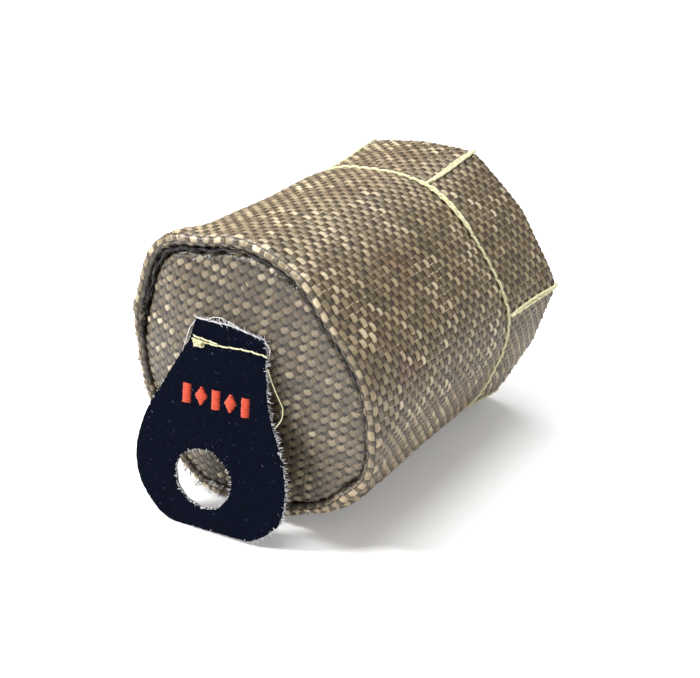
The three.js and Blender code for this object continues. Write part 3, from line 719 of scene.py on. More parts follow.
def disc(name, material, angles, outer, rings, front, back):
    """A closed disc across the cup, as wide as outer at each angle. front and back give x from y and z."""
    rows = []
    for side, order in ((front, range(1, rings + 1)), (back, range(rings, 0, -1))):
        for ring in order:
            y, z = across_cup(outer * ring / rings, angles)
            rows.append(np.stack(np.broadcast_arrays(side(y, z), y, z), -1))
    piece = band(name, rows, material, closed=False)
    close_ends(piece, len(angles))
    return piece


def close_ends(piece, columns):
    """Closes the first and last row of an open band with a fan from the middle, and turns the faces outwards."""
    shape = bmesh.new()
    shape.from_mesh(piece.data)
    layer = shape.loops.layers.uv.active
    corners = list(shape.verts)
    for start in (0, len(corners) - columns):
        ring = corners[start:start + columns]
        middle = shape.verts.new(sum((v.co for v in ring), Vector()) / columns)
        for k in range(columns):
            face = shape.faces.new((ring[k], ring[(k + 1) % columns], middle))
            face.smooth = True
            for loop in face.loops:
                loop[layer].uv = (loop.vert.co.y / MM, loop.vert.co.z / MM)
    bmesh.ops.recalc_face_normals(shape, faces=shape.faces[:])
    shape.to_mesh(piece.data)
    shape.free()


class BLANKET_OT_padding(bpy.types.Operator):
    """Padding of the wall and of the closed end: needled mat between the outer cloth and the lining"""
    bl_idname = "blanket.padding"
    bl_label = "Padding"

    def execute(self, context):
        material = mat_material(context.scene.blanket_cloth)
        columns = 180
        angles = np.arange(columns) * 360 / columns
        xs = np.linspace(END_X + PADDING_FROM_LIP, MOUTH_X - PADDING_FROM_MOUTH, 30)
        x = np.concatenate([xs, xs[::-1]])[:, None]
        depth = np.repeat([PADDING_TOP, PADDING_BASE], len(xs))[:, None]
        lumps = 0.15 * cloudiness(cup_point(x, angles[None, :], depth), 4, 21)
        # The ring stitch pinches the padding's outside
        pinched = np.where(depth == PADDING_TOP, 0.5 * np.exp(-(((x - RING_X) / 3) ** 2)), 0)
        wall = band("wall_padding_mat", cup_point(x, angles[None, :], depth + lumps + pinched), material)
        finish_piece(wall, "needled_mat", "wall_padding")

        end = disc(
            "end_padding_mat", material, angles, end_seam_radius(angles) - 4.2, 12,
            lambda y, z: end_front(y, z) + CLOTH + 0.75, lambda y, z: -LINING - 0.4,
        )
        finish_piece(end, "needled_mat", "end_padding")
        return {"FINISHED"}


class BLANKET_OT_lining(bpy.types.Operator):
    """Lining of the wall and of the closed end: thin glass cloth that faces the filter"""
    bl_idname = "blanket.lining"
    bl_label = "Lining"

    def execute(self, context):
        material = lining_material(context.scene.blanket_cloth)
        columns = 240
        angles = np.arange(columns) * 360 / columns
        xs = np.arange(-LINING + 0.1, RING_X + 8, 1.0)
        x = np.concatenate([xs, xs[::-1]])[:, None]
        depth = np.repeat([LINING_TOP + 0.1, LINING_TOP + 0.6], len(xs))[:, None]
        dents = 0.18 * cloudiness(cup_point(x, angles[None, :], depth), 9, 31)
        weave = np.stack(np.broadcast_arrays(np.arange(columns, dtype=float), x), -1)
        rows = cup_point(x, angles[None, :], depth + dents)
        wall = band("wall_lining_cloth", rows, material, weave=weave)
        finish_piece(wall, "lining_cloth", "wall_lining")

        outer = np.minimum(
            cup_radius(-LINING, angles) - HEM_TOP - 0.2,
            (AXIS_HEIGHT - HEM_TOP - 0.2) / np.maximum(0.01, -np.sin(np.radians(angles))),
        )
        end = disc("end_lining_cloth", material, angles, outer, 24, lambda y, z: -0.05, lambda y, z: -LINING + 0.1)
        layer = end.data.uv_layers["weave"]
        for loop in end.data.loops:
            layer.uv[loop.index].vector = end.data.vertices[loop.vertex_index].co.yz / MM
        finish_piece(end, "lining_cloth", "end_lining")
        return {"FINISHED"}


# Threads


class ThreadSettings(bpy.types.PropertyGroup):
    diameter: length("Diameter", 0.9, "Thickness of the sewing thread")
    twist: length("Twist", 2.2, "Length of one turn of the thread's plies")
    stitch: length("Stitch", 3.4, "Length of one stitch")
    pale: colour("Pale thread", "#f6f3d0", "Aramid thread of the hem and the tab")
    pale_shade: colour("Pale shade", "#d9cf94", "Between the pale thread's plies")
    dark: colour("Dark thread", "#2d2226", "Thread in the end's seam")
    dark_shade: colour("Dark shade", "#0b0809", "Between the dark thread's plies")
    fray: colour("Fray", "#cfc2a4", "Broken fibres of the cut cloth")
    fray_shade: colour("Fray shade", "#8d7f63", "Between the broken fibres")


def thread_material(name, light, shade):
    """Twisted aramid sewing thread: three soft plies with fine fibres, slightly darker between them."""
    if name in bpy.data.materials:
        return bpy.data.materials[name]
    material, tree = new_material(name)
    place = add_node(tree, "TexCoord").outputs["Object"]
    fuzz = add_node(tree, "TexNoise", {"Vector": place, "Scale": 2600.0, "Detail": 3.0})
    spread = add_node(tree, "MapRange", (fuzz, 0.35, 0.6, 0.0, 1.0))
    tint = add_node(tree, "Mix", {0: spread, 6: shade, 7: light}, data_type="RGBA")
    return finish_material(material, tint, {"Roughness": 0.6, "Sheen Weight": 0.25}, (fuzz, 0.4, 0.0001))


def sewing_thread(scene, kind):
    """One kind of thread: pale aramid, dark, or the pale, slightly yellow fray of broken rock fibre."""
    name = {"pale": "pale_aramid_thread", "dark": "dark_sewing_thread", "fray": "frayed_rock_fibre"}[kind]
    threads = scene.blanket_thread
    return thread_material(name, getattr(threads, kind), getattr(threads, kind + "_shade"))


def resample(path, step, closed):
    """Evenly spaced points along a path, how far along each one is, and the path's length."""
    path, total = along(path, closed)
    count = max(4, int(round(total[-1] / step)))
    marks = np.linspace(0, total[-1], count, endpoint=not closed)
    return at_marks(path, total, marks), marks, total[-1]


def ahead_of(path, closed):
    """Unit directions along a path."""
    return unit(np.roll(path, -1, axis=0) - np.roll(path, 1, axis=0) if closed else np.gradient(path, axis=0))


def sweep(path, radius, sides, closed):
    """A tube's points and faces along a path. radius is one number or one for each point."""
    count = len(path)
    ahead = ahead_of(path, closed)
    normal = Vector(ahead[0]).orthogonal().normalized()
    normals = []
    for direction in map(Vector, ahead):
        normal = (normal - direction * normal.dot(direction)).normalized()
        normals.append(normal.copy())
    normals = np.array(normals)
    others = np.cross(ahead, normals)
    turn = np.arange(sides) * 2 * math.pi / sides
    radius = np.broadcast_to(np.asarray(radius, float), (count,))
    ring = np.cos(turn)[None, :, None] * normals[:, None] + np.sin(turn)[None, :, None] * others[:, None]
    points = (path[:, None] + ring * radius[:, None, None]).reshape(-1, 3)
    faces = []
    for k in range(count if closed else count - 1):
        a, b = k * sides, ((k + 1) % count) * sides
        faces += [(a + s, a + (s + 1) % sides, b + (s + 1) % sides, b + s) for s in range(sides)]
    if not closed:
        faces += [tuple(range(sides))[::-1], tuple(range((count - 1) * sides, count * sides))]
    return points, faces


def tubes(name, routes, material, sides, closed=False):
    """Tubes along routes, each a path and its radius, in one mesh."""
    all_points, all_faces, start = [], [], 0
    for path, radius in routes:
        points, faces = sweep(path, radius, sides, closed)
        all_points.append(points)
        all_faces += [[start + k for k in face] for face in faces]
        start += len(points)
    piece = make_object(name, np.concatenate(all_points), all_faces, material)
    face_outwards(piece)
    return piece


def strands(name, paths, diameter, twist, material, closed=False, plies=3, sides=5):
    """Twisted threads along paths, in one mesh."""
    routes = []
    for path in paths:
        line, marks, total = resample(path, twist / 7, closed)
        ahead = ahead_of(line, closed)
        side = unit(np.cross(ahead, (0.31, 0.22, 0.92)))
        up = np.cross(side, ahead)
        turns = round(total / twist) if closed else total / twist
        for ply in range(plies):
            phase = 2 * math.pi * (marks / total * turns + ply / plies)
            around = np.cos(phase)[:, None] * side + np.sin(phase)[:, None] * up
            routes.append((line + 0.235 * diameter * around, 0.275 * diameter))
    return tubes(name, routes, material, sides, closed)


def fibres(name, lines, material, sides=3):
    """Loose fibres: thin tapering tubes along lines, each a path and its thickness, in one mesh."""
    routes = [(path, thick / 2 * (1 - 0.65 * np.linspace(0, 1, len(path)) ** 2)) for path, thick in lines]
    return tubes(name, routes, material, sides)


def stitched(marks, stitch, depth_high, depth_low):
    """Depth of a thread that dives into the cloth at each stitch."""
    beat = np.abs(np.sin(math.pi * marks / stitch))
    return depth_low + (depth_high - depth_low) * np.minimum(1, beat * 1.6) ** 0.7


class BLANKET_OT_ring_stitch(bpy.types.Operator):
    """Ring of stitches round the wall, doubled over one stretch"""
    bl_idname = "blanket.ring_stitch"
    bl_label = "Ring stitch"

    doubled_from: FloatProperty(name="Doubled from", description="Angle where the doubling starts", default=104)
    doubled_to: FloatProperty(name="Doubled to", description="Angle where the doubling ends", default=136)

    def execute(self, context):
        threads = context.scene.blanket_thread
        stitch = threads.stitch / MM
        angles = np.arange(0, 360, 0.35)
        around = np.radians(angles) * CUP_RADIUS
        whole = 2 * math.pi * CUP_RADIUS
        beat = whole / round(whole / stitch)
        depth = stitched(around, beat, -0.8, -0.3)
        wobble = 0.3 * np.sin(np.radians(angles * 3 + 40)) + 0.2 * np.sin(np.radians(angles * 7))
        path = cup_point(RING_X + wobble, angles, depth - wall_shift(RING_X + wobble, angles))
        doubled = angles[(angles > self.doubled_from) & (angles < self.doubled_to)]
        share = (doubled - doubled[0]) / (doubled[-1] - doubled[0])
        beside = 0.95 * np.sin(math.pi * share) ** 0.4
        depth = stitched(np.radians(doubled) * CUP_RADIUS + 1.2, beat, -0.8, -0.3)
        second = cup_point(RING_X + beside, doubled, depth - wall_shift(RING_X + beside, doubled))
        thick = threads.diameter / MM
        twist = threads.twist / MM
        material = sewing_thread(context.scene, "pale")
        ring = strands("ring_stitch_thread", [path], thick, twist, material, closed=True)
        finish_piece(ring, "pale_thread", "ring_stitch")
        double = strands("ring_stitch_doubled", [second], thick * 0.9, twist, material)
        finish_piece(double, "pale_thread")
        return {"FINISHED"}


class BLANKET_OT_hem_ties(bpy.types.Operator):
    """Stitches that cross the hem from the ring stitch to the mouth"""
    bl_idname = "blanket.hem_ties"
    bl_label = "Hem ties"

    def execute(self, context):
        threads = context.scene.blanket_thread
        thick, twist, stitch = threads.diameter / MM, threads.twist / MM, threads.stitch / MM
        material = sewing_thread(context.scene, "pale")
        for number, angle in enumerate(TIE_ANGLES, 1):
            xs = np.arange(RING_X + 0.9, MOUTH_X - 0.4, 0.3)
            beat = (xs[-1] - xs[0]) / round((xs[-1] - xs[0]) / stitch)
            depth = stitched(xs - xs[0], beat, -0.75, -0.25)
            wander = 0.5 * np.sin((xs - RING_X) / 7 + number)
            first = cup_point(xs, angle + wander, depth - wall_shift(xs, angle + wander))
            paths = [first]
            if number in (2, 3, 6):
                swing = 1.2 * np.sin(math.pi * (xs - xs[0]) / (xs[-1] - xs[0])) ** 0.5
                beside = angle + wander + swing
                paths.append(cup_point(xs, beside, stitched(xs + 1.3, beat, -0.8, -0.3) - wall_shift(xs, beside)))
            for path in paths:
                path[:, 2] = np.maximum(path[:, 2], -AXIS_HEIGHT + thick / 2)
            piece = strands(f"hem_tie_thread_{number}", paths, thick, twist, material)
            finish_piece(piece, "pale_thread", f"hem_tie_{number}")
        return {"FINISHED"}


class BLANKET_OT_end_seam(bpy.types.Operator):
    """Dark thread in the end's seam, with the loops and frayed ends of the cut cloth"""
    bl_idname = "blanket.end_seam"
    bl_label = "End seam"

    def execute(self, context):
        scene = context.scene
        angles = np.arange(0, 360, 0.5)
        around = np.radians(angles) * CUP_RADIUS
        r = end_seam_radius(angles) + 0.1 + 0.2 * np.sin(around / 1.1)
        x = END_X - 0.1 - 0.6 * np.abs(np.sin(around / 2.6)) ** 2
        path = np.stack([x, *across_cup(r, angles)], -1)
        dark = sewing_thread(scene, "dark")
        thick, twist = 0.8, 1.8
        seam = strands("end_seam_stitches", [path], thick, twist, dark, closed=True)
        finish_piece(seam, "dark_thread", "end_seam_thread")
        for name, material, count, thick, seed in (
            ("end_seam_loops", dark, 230, 0.26, 5),
            ("end_seam_frays", sewing_thread(scene, "fray"), 50, 0.13, 6),
        ):
            finish_piece(fibres(name, self.loops(count, thick, seed), material), "dark_thread")
        return {"FINISHED"}

    def loops(self, count, thick, seed):
        """Short curled fibres that start in the seam and lie over its lips."""
        random = np.random.default_rng(seed)
        lines = []
        for _ in range(count):
            angle = random.uniform(0, 360)
            reach = random.uniform(0.8, 2.6)
            t = np.linspace(0, 1, 9)
            curl = random.normal(0, 1.5) * t + 0.5 * np.sin(t * random.uniform(3, 8))
            swing = angle + np.degrees(curl / CUP_RADIUS)
            side = random.normal(0.35, 1.0)
            r = end_seam_radius(swing) + side * reach * 0.6 * np.sin(t * math.pi / 1.4)
            x = END_X + 0.6 - (0.9 + 0.7 * reach) * np.sin(math.pi * t * 0.8)
            lines.append((np.stack([x, *across_cup(r, swing)], -1), thick))
        return lines


class BLANKET_OT_side_seam(bpy.types.Operator):
    """Stitches that close the wall's side seam"""
    bl_idname = "blanket.side_seam"
    bl_label = "Side seam"

    def execute(self, context):
        threads = context.scene.blanket_thread
        xs = np.arange(END_X + 4, RING_X - 3, 0.3)
        beat = threads.stitch / MM
        depth = stitched(xs, beat, -0.45, 0.1) - wall_shift(xs, SIDE_SEAM_ANGLE + 4.6)
        path = cup_point(xs, SIDE_SEAM_ANGLE + 4.6, depth)
        piece = strands("side_seam_stitches", [path], 0.7, 1.8, sewing_thread(context.scene, "dark"))
        finish_piece(piece, "dark_thread", "side_seam_thread")
        return {"FINISHED"}


# The pull tab


class TabSettings(bpy.types.PropertyGroup):
    thickness: length("Thickness", 1.1, "Thickness of the denim")
    fray: length("Fray", 1.3, "Length of the loose fibres at the cut edge")
    wale: length("Wale", 0.75, "Distance between the twill's diagonal ribs")
    navy: colour("Navy", "#0a1022", "Indigo-dyed yarns on the denim's face")
    navy_shade: colour("Navy shade", "#04060c", "Between the twill's ribs")
    fleck: colour("Fleck", "#8f93a8", "Undyed yarns that show through the face")
    cotton: colour("Cotton", "#f4f2f4", "Undyed cotton fibres at the cut edge")
    mark: colour("Mark", "#f0501f", "Satin-stitched mark")
    mark_shade: colour("Mark shade", "#b2300c", "Between the mark's threads")


def tab_frame():
    """The tab's place: its origin in millimetres, and its across, up and outward directions."""
    across = np.array([math.sin(TAB_YAW), -math.cos(TAB_YAW), 0])
    outward = np.array([
        -math.cos(TAB_YAW) * math.cos(TAB_LEAN), -math.sin(TAB_YAW) * math.cos(TAB_LEAN), math.sin(TAB_LEAN)
    ])
    upward = np.cross(outward, across)
    origin = np.array([end_front(0, TAB_STITCH_HEIGHT) - TAB_SEAT_GAP, 0, TAB_STITCH_HEIGHT])
    return origin, across, upward, outward


def tab_bend(u, v):
    """How far the denim's back stands out of the tab's flat plane."""
    pinch = -0.5 * np.exp(-((v / 2.2) ** 2))
    strip = -0.45 * smooth(v / TAB_TOP)
    wave = 0.35 * np.sin(u / 9 + 0.6) * np.sin(v / 13 + 0.4)
    below = smooth(-v / 12)
    return pinch + strip + wave * below


def on_tab(u, v, w):
    """A point in millimetres from a place on the tab and a height above its back."""
    origin, across, upward, outward = tab_frame()
    u, v, w = np.broadcast_arrays(np.asarray(u, float), np.asarray(v, float), np.asarray(w, float))
    out = w + tab_bend(u, v)
    return origin + u[..., None] * across + v[..., None] * upward + out[..., None] * outward


def quadratic(start, bend, end, steps=10):
    """Points of a curve from start to end, drawn towards bend. The start itself is left out."""
    t = np.linspace(0, 1, steps + 1)[1:, None]
    start, bend, end = np.array(start), np.array(bend), np.array(end)
    return (1 - t) ** 2 * start + 2 * t * (1 - t) * bend + t**2 * end


def tab_outline():
    """The hand-cut outline, anticlockwise from its top left corner."""
    drop = TAB_DROP
    points = [np.array([(-10.1, TAB_TOP), (-11.9, -0.7), (-21.7, -18.4)])]
    bends = [
        ((-26.2, -26.5), (-26.7, -34.2)), ((-27, -43), (-20.9, -48.1)), ((-18, -drop), (-13.2, -drop)),
        None, ((12.4, -48.6), (16.4, -43.4)), ((18.3, -38), (17.2, -31)),
        ((16, -24.5), (12.8, -17.8)), ((11.2, -13), (10.9, -8)),
    ]
    for bend in bends:
        last = points[-1][-1]
        points.append(np.array([(7.7, 1 - drop)]) if bend is None else quadratic(last, *bend))
    points.append(np.array([(9.4, TAB_TOP - 1.5), (0.3, TAB_TOP)]))
    return np.concatenate(points)


def closed_resample(points, step):
    return resample(points, step, True)[0]


def hole_outline(count=72):
    """The tab's hole, cut by hand and so not quite round."""
    turn = np.arange(count) * 2 * math.pi / count
    u, v, r = TAB_HOLE
    radius = r + 0.12 * np.sin(5 * turn + 1) + 0.1 * np.sin(11 * turn)
    return np.stack([u + radius * np.cos(turn), v + radius * np.sin(turn)], -1)


def denim_material(settings):
    """Indigo denim: a steep twill of dyed yarns, with undyed cotton flecks between them."""
    material, tree = new_material("indigo_denim")
    uv = add_node(tree, "UVMap", uv_map="weave")
    wale = settings.wale / MM
    # The ribs fall to the right, and each is a chain of short floats
    twill = add_node(tree, "Mapping", {"Vector": uv, "Rotation": (0, 0, math.radians(-50))})
    ribs = add_node(
        tree, "TexWave",
        {"Vector": twill, "Scale": 1 / wale / 3.18, "Distortion": 2.4, "Detail": 2.0, "Detail Scale": 2.0},
        bands_direction="X",
    ).outputs[1]
    yarns = add_node(tree, "Mapping", {"Vector": twill, "Scale": (2.2 / wale, 0.8 / wale, 1.0)})
    floats = add_node(tree, "TexNoise", {"Vector": yarns, "Scale": 1.0, "Detail": 2.0}, noise_dimensions="2D")
    flecks = add_node(
        tree, "TexNoise", {"Vector": yarns, "Scale": 0.62, "Detail": 3.0, "Roughness": 0.6}, noise_dimensions="2D"
    )
    fleck_mask = add_node(tree, "MapRange", (flecks, 0.72, 0.79, 0.0, 0.7))
    rib_mask = add_node(tree, "MapRange", (ribs, 0.1, 0.8, 0.0, 1.0))
    blue = add_node(tree, "Mix", {0: rib_mask, 6: settings.navy_shade, 7: settings.navy}, data_type="RGBA")
    worn = mottled(tree, blue, floats, 0.3, 0.7, 0.7, 1.5)
    flecked = add_node(tree, "Mix", {0: fleck_mask, 6: worn, 7: settings.fleck}, data_type="RGBA")
    height = add_node(tree, "Math", (ribs, floats), operation="ADD")
    values = {"Roughness": 0.85, "Specular IOR Level": 0.03}
    return finish_material(material, flecked, values, (height, 0.7, 0.0002))


def cotton_material(settings):
    """Undyed cotton: soft off-white fibres at the denim's cut edge."""
    material, tree = new_material("undyed_cotton")
    place = add_node(tree, "TexCoord").outputs["Object"]
    tone = add_node(tree, "TexNoise", {"Vector": place, "Scale": 900.0, "Detail": 3.0})
    tint = mottled(tree, settings.cotton, tone, 0.35, 0.65, 0.8, 1.05)
    return finish_material(material, tint, {"Roughness": 0.9, "Sheen Weight": 0.4})


def cut_edge_material(settings):
    """Cut edge of denim: dark blue, with tufts of undyed cotton."""
    material, tree = new_material("cut_denim_edge")
    place = add_node(tree, "TexCoord").outputs["Object"]
    tufts = add_node(tree, "TexNoise", (place, 0.0, 1400.0, 2.0))
    mask = add_node(tree, "MapRange", (tufts, 0.48, 0.62, 0.0, 0.9))
    tint = add_node(tree, "Mix", {0: mask, 6: settings.navy, 7: settings.cotton}, data_type="RGBA")
    return finish_material(material, tint, {"Roughness": 0.95}, (tufts, 0.8, 0.0004))


class BLANKET_OT_pull_tab(bpy.types.Operator):
    """Denim pull tab with its hole, bent where it is sewn on"""
    bl_idname = "blanket.pull_tab"
    bl_label = "Pull tab"

    def execute(self, context):
        tab = context.scene.blanket_tab
        shape = bmesh.new()
        outer = closed_resample(tab_outline(), 0.9)
        jag = 0.27 * np.array([noise.noise(Vector((p[0] * 1.3, p[1] * 1.3, 3))) for p in outer])
        outer = outer + unit(outer - outer.mean(0)) * jag[:, None]
        edges = []
        for ring in (outer, hole_outline()):
            verts = [shape.verts.new((u, v, 0)) for u, v in ring]
            edges += [shape.edges.new((verts[k], verts[(k + 1) % len(verts)])) for k in range(len(verts))]
        bmesh.ops.triangle_fill(shape, edges=edges, use_beauty=True)
        for direction, low, high in zip(((1, 0), (0, 1)), outer.min(0), outer.max(0)):
            cut(shape, direction, np.arange(low + 0.7, high, 1.1))
        bmesh.ops.dissolve_limit(shape, angle_limit=0.001, verts=[], edges=[
            e for e in shape.edges
            if len(e.link_faces) == 2 and abs((e.verts[0].co - e.verts[1].co).x) > 1e-4
            and abs((e.verts[0].co - e.verts[1].co).y) > 1e-4
        ])
        flat, faces = flat_mesh(shape)
        points = on_tab(flat[:, 0], flat[:, 1], tab.thickness / MM)
        uvs = [flat[k] for face in faces for k in face]
        piece = make_object("denim_tab", points, faces, denim_material(tab), uvs)
        piece.data.materials.append(cut_edge_material(tab))
        thicken(piece, tab.thickness, rim=1)
        finish_piece(piece, "denim", "pull_tab")
        fray = self.fray(tab)
        finish_piece(fray, "denim")
        return {"FINISHED"}

    def fray(self, tab):
        """Loose cotton fibres that stand out of the cut edge, thickest down the right side."""
        random = np.random.default_rng(7)
        lines = []
        reach = tab.fray / MM
        thick = tab.thickness / MM
        for ring, outward in ((closed_resample(tab_outline(), 0.32), 1), (hole_outline(150), -1)):
            ahead = ahead_of(ring, True)
            away = np.stack([ahead[:, 1], -ahead[:, 0]], -1)
            middle = ring.mean(0)
            if np.sum(away * (ring - middle)) * outward < 0:
                away = -away
            for place, direction, along in zip(ring, away, ahead):
                right = outward == 1 and place[0] > 5 and place[1] > -50
                top = outward == 1 and place[1] > TAB_TOP - 2
                bottom_left = outward == 1 and not right and not top
                chance = 0.95 if right else 0.9 if top else 0.3 if bottom_left else 0.55
                if random.random() > chance:
                    continue
                size = reach * random.uniform(0.25, 1.0) * (0.45 if bottom_left else 0.8 if not right else 1.0)
                slant = along * random.normal(0, 0.35)
                tip = place + (direction + slant) * size
                root = place - direction * 0.5
                bend = (root + tip) / 2 + random.normal(0, 0.08, 2)
                w = random.uniform(0.2, 1.0) * thick
                path = on_tab(
                    np.array([root[0], bend[0], tip[0]]), np.array([root[1], bend[1], tip[1]]),
                    np.array([w, w + random.normal(0, 0.05), w + random.normal(0, 0.3)]),
                )
                lines.append((path, random.uniform(0.12, 0.24)))
        # A fine line of bare weft along the top edge, and the open web at its right end
        top = np.linspace(-10, 9.3, 30)
        for k in range(5):
            v = np.interp(top, [-10.1, 0.3, 9.4], [TAB_TOP, TAB_TOP, TAB_TOP - 1.5])
            path = on_tab(top, v + random.normal(0, 0.08, 30), thick * (0.5 + 0.12 * k))
            lines.append((path, 0.18))
        for k in range(12):
            share = k / 11
            path = on_tab(
                np.array([9.3 + 0.2 * share, 10.4 + 0.5 * share, 10.6 - 0.3 * share]),
                np.array([3.8 - 0.5 * share, 2.6 - share, 0.2 - 1.1 * share]), np.array([0.9, 0.6, 0.5]),
            )
            lines.append((path, 0.2))
        wisps = [
            [(-7.5, 5.4), (-5, 6.8), (-2.6, 7.2), (-1, 6.4), (1.2, 5.1)],
            [(-2.9, 7.1), (-1.6, 6.2), (-0.8, 4.9)],
            [(-0.9, 6.6), (1.4, 6.0), (3.6, 5.0), (5.4, 4.6)],
            [(-3.4, 7.0), (-3.2, 5.6), (-2.2, 4.8)],
            [(-10.4, 4.6), (-11.6, 2.6), (-12.6, -0.4), (-13.4, -4.0)],
            [(-10.2, 4.9), (-11.3, 3.2), (-12.2, 0.6), (-12.9, -2.2)],
        ]
        for wisp in wisps:
            wisp = np.array(wisp)
            t = np.linspace(0, len(wisp) - 1, 12)
            u, v = (np.interp(t, np.arange(len(wisp)), wisp[:, k]) for k in (0, 1))
            lines.append((on_tab(u, v, 1.2 + 0.3 * np.sin(t)), 0.22))
        return fibres("denim_tab_fray", lines, cotton_material(tab))


class BLANKET_OT_tab_stitch(bpy.types.Operator):
    """The tab's stitch line, the knot at its start and the loose thread beside the tab"""
    bl_idname = "blanket.tab_stitch"
    bl_label = "Tab stitch"

    def execute(self, context):
        tab = context.scene.blanket_tab
        face = tab.thickness / MM
        material = sewing_thread(context.scene, "pale")
        u = np.arange(-10.9, 10.6, 0.2)
        lift = stitched(u, 3.0, 0.42, -0.25)
        sway = 0.35 * np.sin(u / 3.3)
        line = on_tab(u, sway, face + lift)
        second_u = np.arange(-10.6, -3.4, 0.2)
        second = on_tab(second_u, 0.75 - 0.1 * (second_u + 10), face + stitched(second_u + 1, 2.4, 0.45, 0))
        stitch = strands("tab_stitch_line", [line, second], 0.46, 1.4, material)
        finish_piece(stitch, "pale_thread", "tab_stitch")

        t = np.linspace(0, 1, 120)
        turn = 2 * math.pi * t * 4.3
        knot_u = -8.9 + 1.0 * np.sin(turn) + 0.9 * (t - 0.5)
        knot_v = -0.8 + 0.75 * np.sin(1.6 * turn + 0.7)
        knot = strands(
            "tab_stitch_start_knot", [on_tab(knot_u, knot_v, face + 0.55 + 0.35 * np.cos(1.3 * turn))],
            0.46, 1.3, material, sides=4,
        )
        finish_piece(knot, "pale_thread", "tab_stitch_knot")

        tail = np.array([
            (10.8, -3.2, 0.8), (12.4, -7.2, 0.5), (14.4, -11.0, 0.3), (15.1, -12.6, 0.2),
            (14.9, -15.4, 0.3), (12.8, -18.9, 0.5),
        ])
        t = np.linspace(0, len(tail) - 1, 60)
        path = np.stack([self.curve(t, tail[:, k]) for k in range(3)], -1)
        loose = strands(
            "loose_thread_tail", [on_tab(path[:, 0], path[:, 1], path[:, 2])], 0.34, 1.2, material, plies=2, sides=4
        )
        finish_piece(loose, "pale_thread", "thread_tail")
        return {"FINISHED"}

    def curve(self, t, values):
        """A smooth line through values at whole numbers."""
        k = np.clip(t.astype(int), 0, len(values) - 2)
        f = t - k
        padded = np.concatenate([[2 * values[0] - values[1]], values, [2 * values[-1] - values[-2]]])
        p0, p1, p2, p3 = (padded[k + n] for n in range(4))
        square, cube = 2 * p0 - 5 * p1 + 4 * p2 - p3, 3 * p1 - p0 - 3 * p2 + p3
        return 0.5 * (2 * p1 + (p2 - p0) * f + square * f**2 + cube * f**3)


class BLANKET_OT_tab_mark(bpy.types.Operator):
    """Satin-stitched mark on the tab: bars and diamonds by turns"""
    bl_idname = "blanket.tab_mark"
    bl_label = "Tab mark"

    def execute(self, context):
        tab = context.scene.blanket_tab
        material = thread_material("orange_satin_thread", tab.mark, tab.mark_shade)
        face = tab.thickness / MM
        random = np.random.default_rng(3)
        height, pitch, below_stitch = 5.0, 4.2, 14.4
        bar_half, diamond_half, row, thread = 1.15, 1.8, 0.3, 0.4
        for index in range(5):
            middle_u = -3.2 + (index - 2) * pitch
            lines = []
            for v in np.arange(-height / 2, height / 2 + 0.01, row):
                half = bar_half if index % 2 == 0 else diamond_half * (1 - abs(v) / (height / 2 + 0.2))
                if half < 0.2:
                    continue
                half += random.normal(0, 0.06)
                t = np.linspace(-1, 1, 9)
                path = on_tab(
                    middle_u + t * half, -below_stitch + v + 0.1 * t + random.normal(0, 0.03, 9),
                    face + 0.34 * np.sqrt(np.maximum(0, 1 - t**2)) - 0.08 + random.normal(0, 0.02),
                )
                lines.append((path, thread))
            piece = fibres(f"tab_mark_patch_{index + 1}", lines, material, sides=5)
            finish_piece(piece, "orange_thread", f"tab_mark_{index + 1}")
        return {"FINISHED"}


# The stage


class StageSettings(bpy.types.PropertyGroup):
    floor: colour("Floor", "#fafafa", "Paper that the blanket lies on")
    floor_lift: FloatProperty(name="Floor lift", description="Added white that the camera sees", default=0.2, min=0)
    key: FloatProperty(name="Key light", description="Power of the large lamp", default=10, min=0, unit="POWER")
    fill: FloatProperty(name="Fill light", description="Power of the side lamp", default=10, min=0, unit="POWER")
    ambient: FloatProperty(name="Ambient", description="Strength of the white surroundings", default=0.38, min=0)


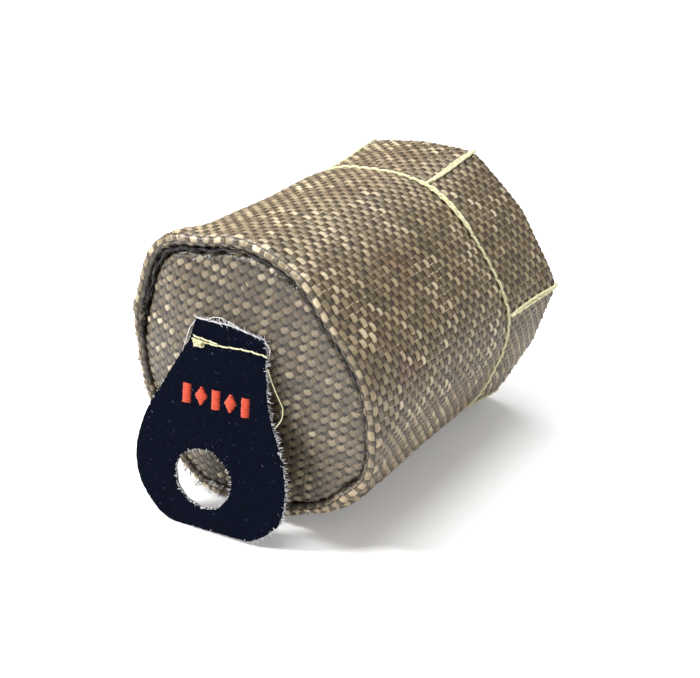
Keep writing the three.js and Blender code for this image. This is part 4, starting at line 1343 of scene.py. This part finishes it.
class BLANKET_OT_stage(bpy.types.Operator):
    """White paper floor, soft white light and the camera"""
    bl_idname = "blanket.stage"
    bl_label = "Stage"

    def execute(self, context):
        stage = context.scene.blanket_stage
        bpy.ops.object.select_all(action="DESELECT")
        bpy.ops.mesh.primitive_plane_add(size=8, location=(0, 0, -AXIS_HEIGHT * MM))
        floor = bpy.context.object
        floor.name = "paper_floor"
        floor.data.materials.append(self.paper(stage))
        self.world(context.scene, stage)
        self.lamp("key_softbox", (0.0, 0.08, 1.0), 0.8, stage.key)
        self.lamp("side_softbox", (-0.5, 0.65, 0.62), 0.2, stage.fill)
        self.camera(context.scene)
        context.scene.view_settings.view_transform = "Standard"
        return {"FINISHED"}

    def paper(self, stage):
        """Matt white paper. The camera sees it a little lifted, so that it meets the white surroundings."""
        material, tree = new_material("white_paper")
        matt = {"Base Color": stage.floor, "Roughness": 0.9, "Specular IOR Level": 0.1}
        shader = add_node(tree, "BsdfPrincipled", matt)
        seen = add_node(tree, "LightPath").outputs["Is Camera Ray"]
        lift = add_node(tree, "Math", (seen, stage.floor_lift), operation="MULTIPLY")
        glow = add_node(tree, "Emission", ((1, 1, 1, 1), lift))
        both = add_node(tree, "AddShader", (shader, glow))
        add_node(tree, "OutputMaterial", (both,))
        return material

    def world(self, scene, stage):
        world = bpy.data.worlds.new("white_surroundings")
        world.use_nodes = True
        tree = world.node_tree
        tree.nodes.clear()
        path = add_node(tree, "LightPath").outputs
        seen = add_node(tree, "Math", (path["Is Camera Ray"], path["Is Transmission Ray"]), operation="MAXIMUM")
        strength = add_node(tree, "Mix", {0: seen, 2: stage.ambient, 3: 1.0}, data_type="FLOAT")
        sky = add_node(tree, "Background", ((1, 1, 1, 1), strength))
        add_node(tree, "OutputWorld", (sky,))
        scene.world = world

    def lamp(self, name, place, size, power):
        light = bpy.data.lights.new(name, "AREA")
        light.shape = "DISK"
        light.size = size
        light.energy = power
        lamp = bpy.data.objects.new(name, light)
        bpy.context.collection.objects.link(lamp)
        lamp.location = place
        aim = Vector((0.04, 0, 0)) - Vector(place)
        lamp.rotation_euler = aim.to_track_quat("-Z", "Y").to_euler()

    def camera(self, scene):
        """The camera stands at the closed end's side, a little above, as the photograph was taken."""
        azimuth, elevation = math.radians(-54.2072), math.radians(27.344)
        distance, focal_px, picture_px = 0.3309, 1200, 700
        target = Vector((0.0361, 0, 0))
        back = Vector((
            math.sin(azimuth) * math.cos(elevation), -math.cos(azimuth) * math.cos(elevation), math.sin(elevation)
        ))
        right = Vector((math.cos(azimuth), math.sin(azimuth), 0))
        up = back.cross(right)
        data = bpy.data.cameras.new("photograph_camera")
        data.sensor_width = 36
        data.lens = data.sensor_width * focal_px / picture_px
        data.shift_x = 5.72 / picture_px
        data.shift_y = -14.72 / picture_px
        data.clip_start = 0.01
        camera = bpy.data.objects.new("photograph_camera", data)
        bpy.context.collection.objects.link(camera)
        place = Matrix((right, up, back)).transposed().to_4x4()
        place.translation = target + back * distance
        camera.matrix_world = place
        scene.camera = camera


class BLANKET_PT_panel(bpy.types.Panel):
    """Settings and pieces of the heat blanket"""
    bl_idname = "BLANKET_PT_panel"
    bl_label = "Heat blanket"
    bl_space_type = "VIEW_3D"
    bl_region_type = "UI"
    bl_category = "Heat blanket"

    def draw(self, context):
        for group in SETTINGS:
            settings = getattr(context.scene, group)
            box = self.layout.box()
            for name in settings.bl_rna.properties.keys():
                if name not in ("rna_type", "name"):
                    box.prop(settings, name)
        for operator in OPERATORS:
            self.layout.operator(operator.bl_idname)


SETTINGS = {
    "blanket_cloth": ClothSettings,
    "blanket_thread": ThreadSettings,
    "blanket_tab": TabSettings,
    "blanket_stage": StageSettings,
}
OPERATORS = (
    BLANKET_OT_wall_cloth,
    BLANKET_OT_end_cloth,
    BLANKET_OT_padding,
    BLANKET_OT_lining,
    BLANKET_OT_ring_stitch,
    BLANKET_OT_hem_ties,
    BLANKET_OT_end_seam,
    BLANKET_OT_side_seam,
    BLANKET_OT_pull_tab,
    BLANKET_OT_tab_stitch,
    BLANKET_OT_tab_mark,
    BLANKET_OT_stage,
)


def register():
    for name, group in SETTINGS.items():
        bpy.utils.register_class(group)
        setattr(bpy.types.Scene, name, PointerProperty(type=group))
    for operator in OPERATORS:
        bpy.utils.register_class(operator)
    bpy.utils.register_class(BLANKET_PT_panel)


def unregister():
    bpy.utils.unregister_class(BLANKET_PT_panel)
    for operator in reversed(OPERATORS):
        bpy.utils.unregister_class(operator)
    for name, group in reversed(SETTINGS.items()):
        delattr(bpy.types.Scene, name)
        bpy.utils.unregister_class(group)


def main():
    register()
    for operator in OPERATORS:
        group, name = operator.bl_idname.split(".")
        getattr(getattr(bpy.ops, group), name)()


if __name__ == "__main__":
    main()
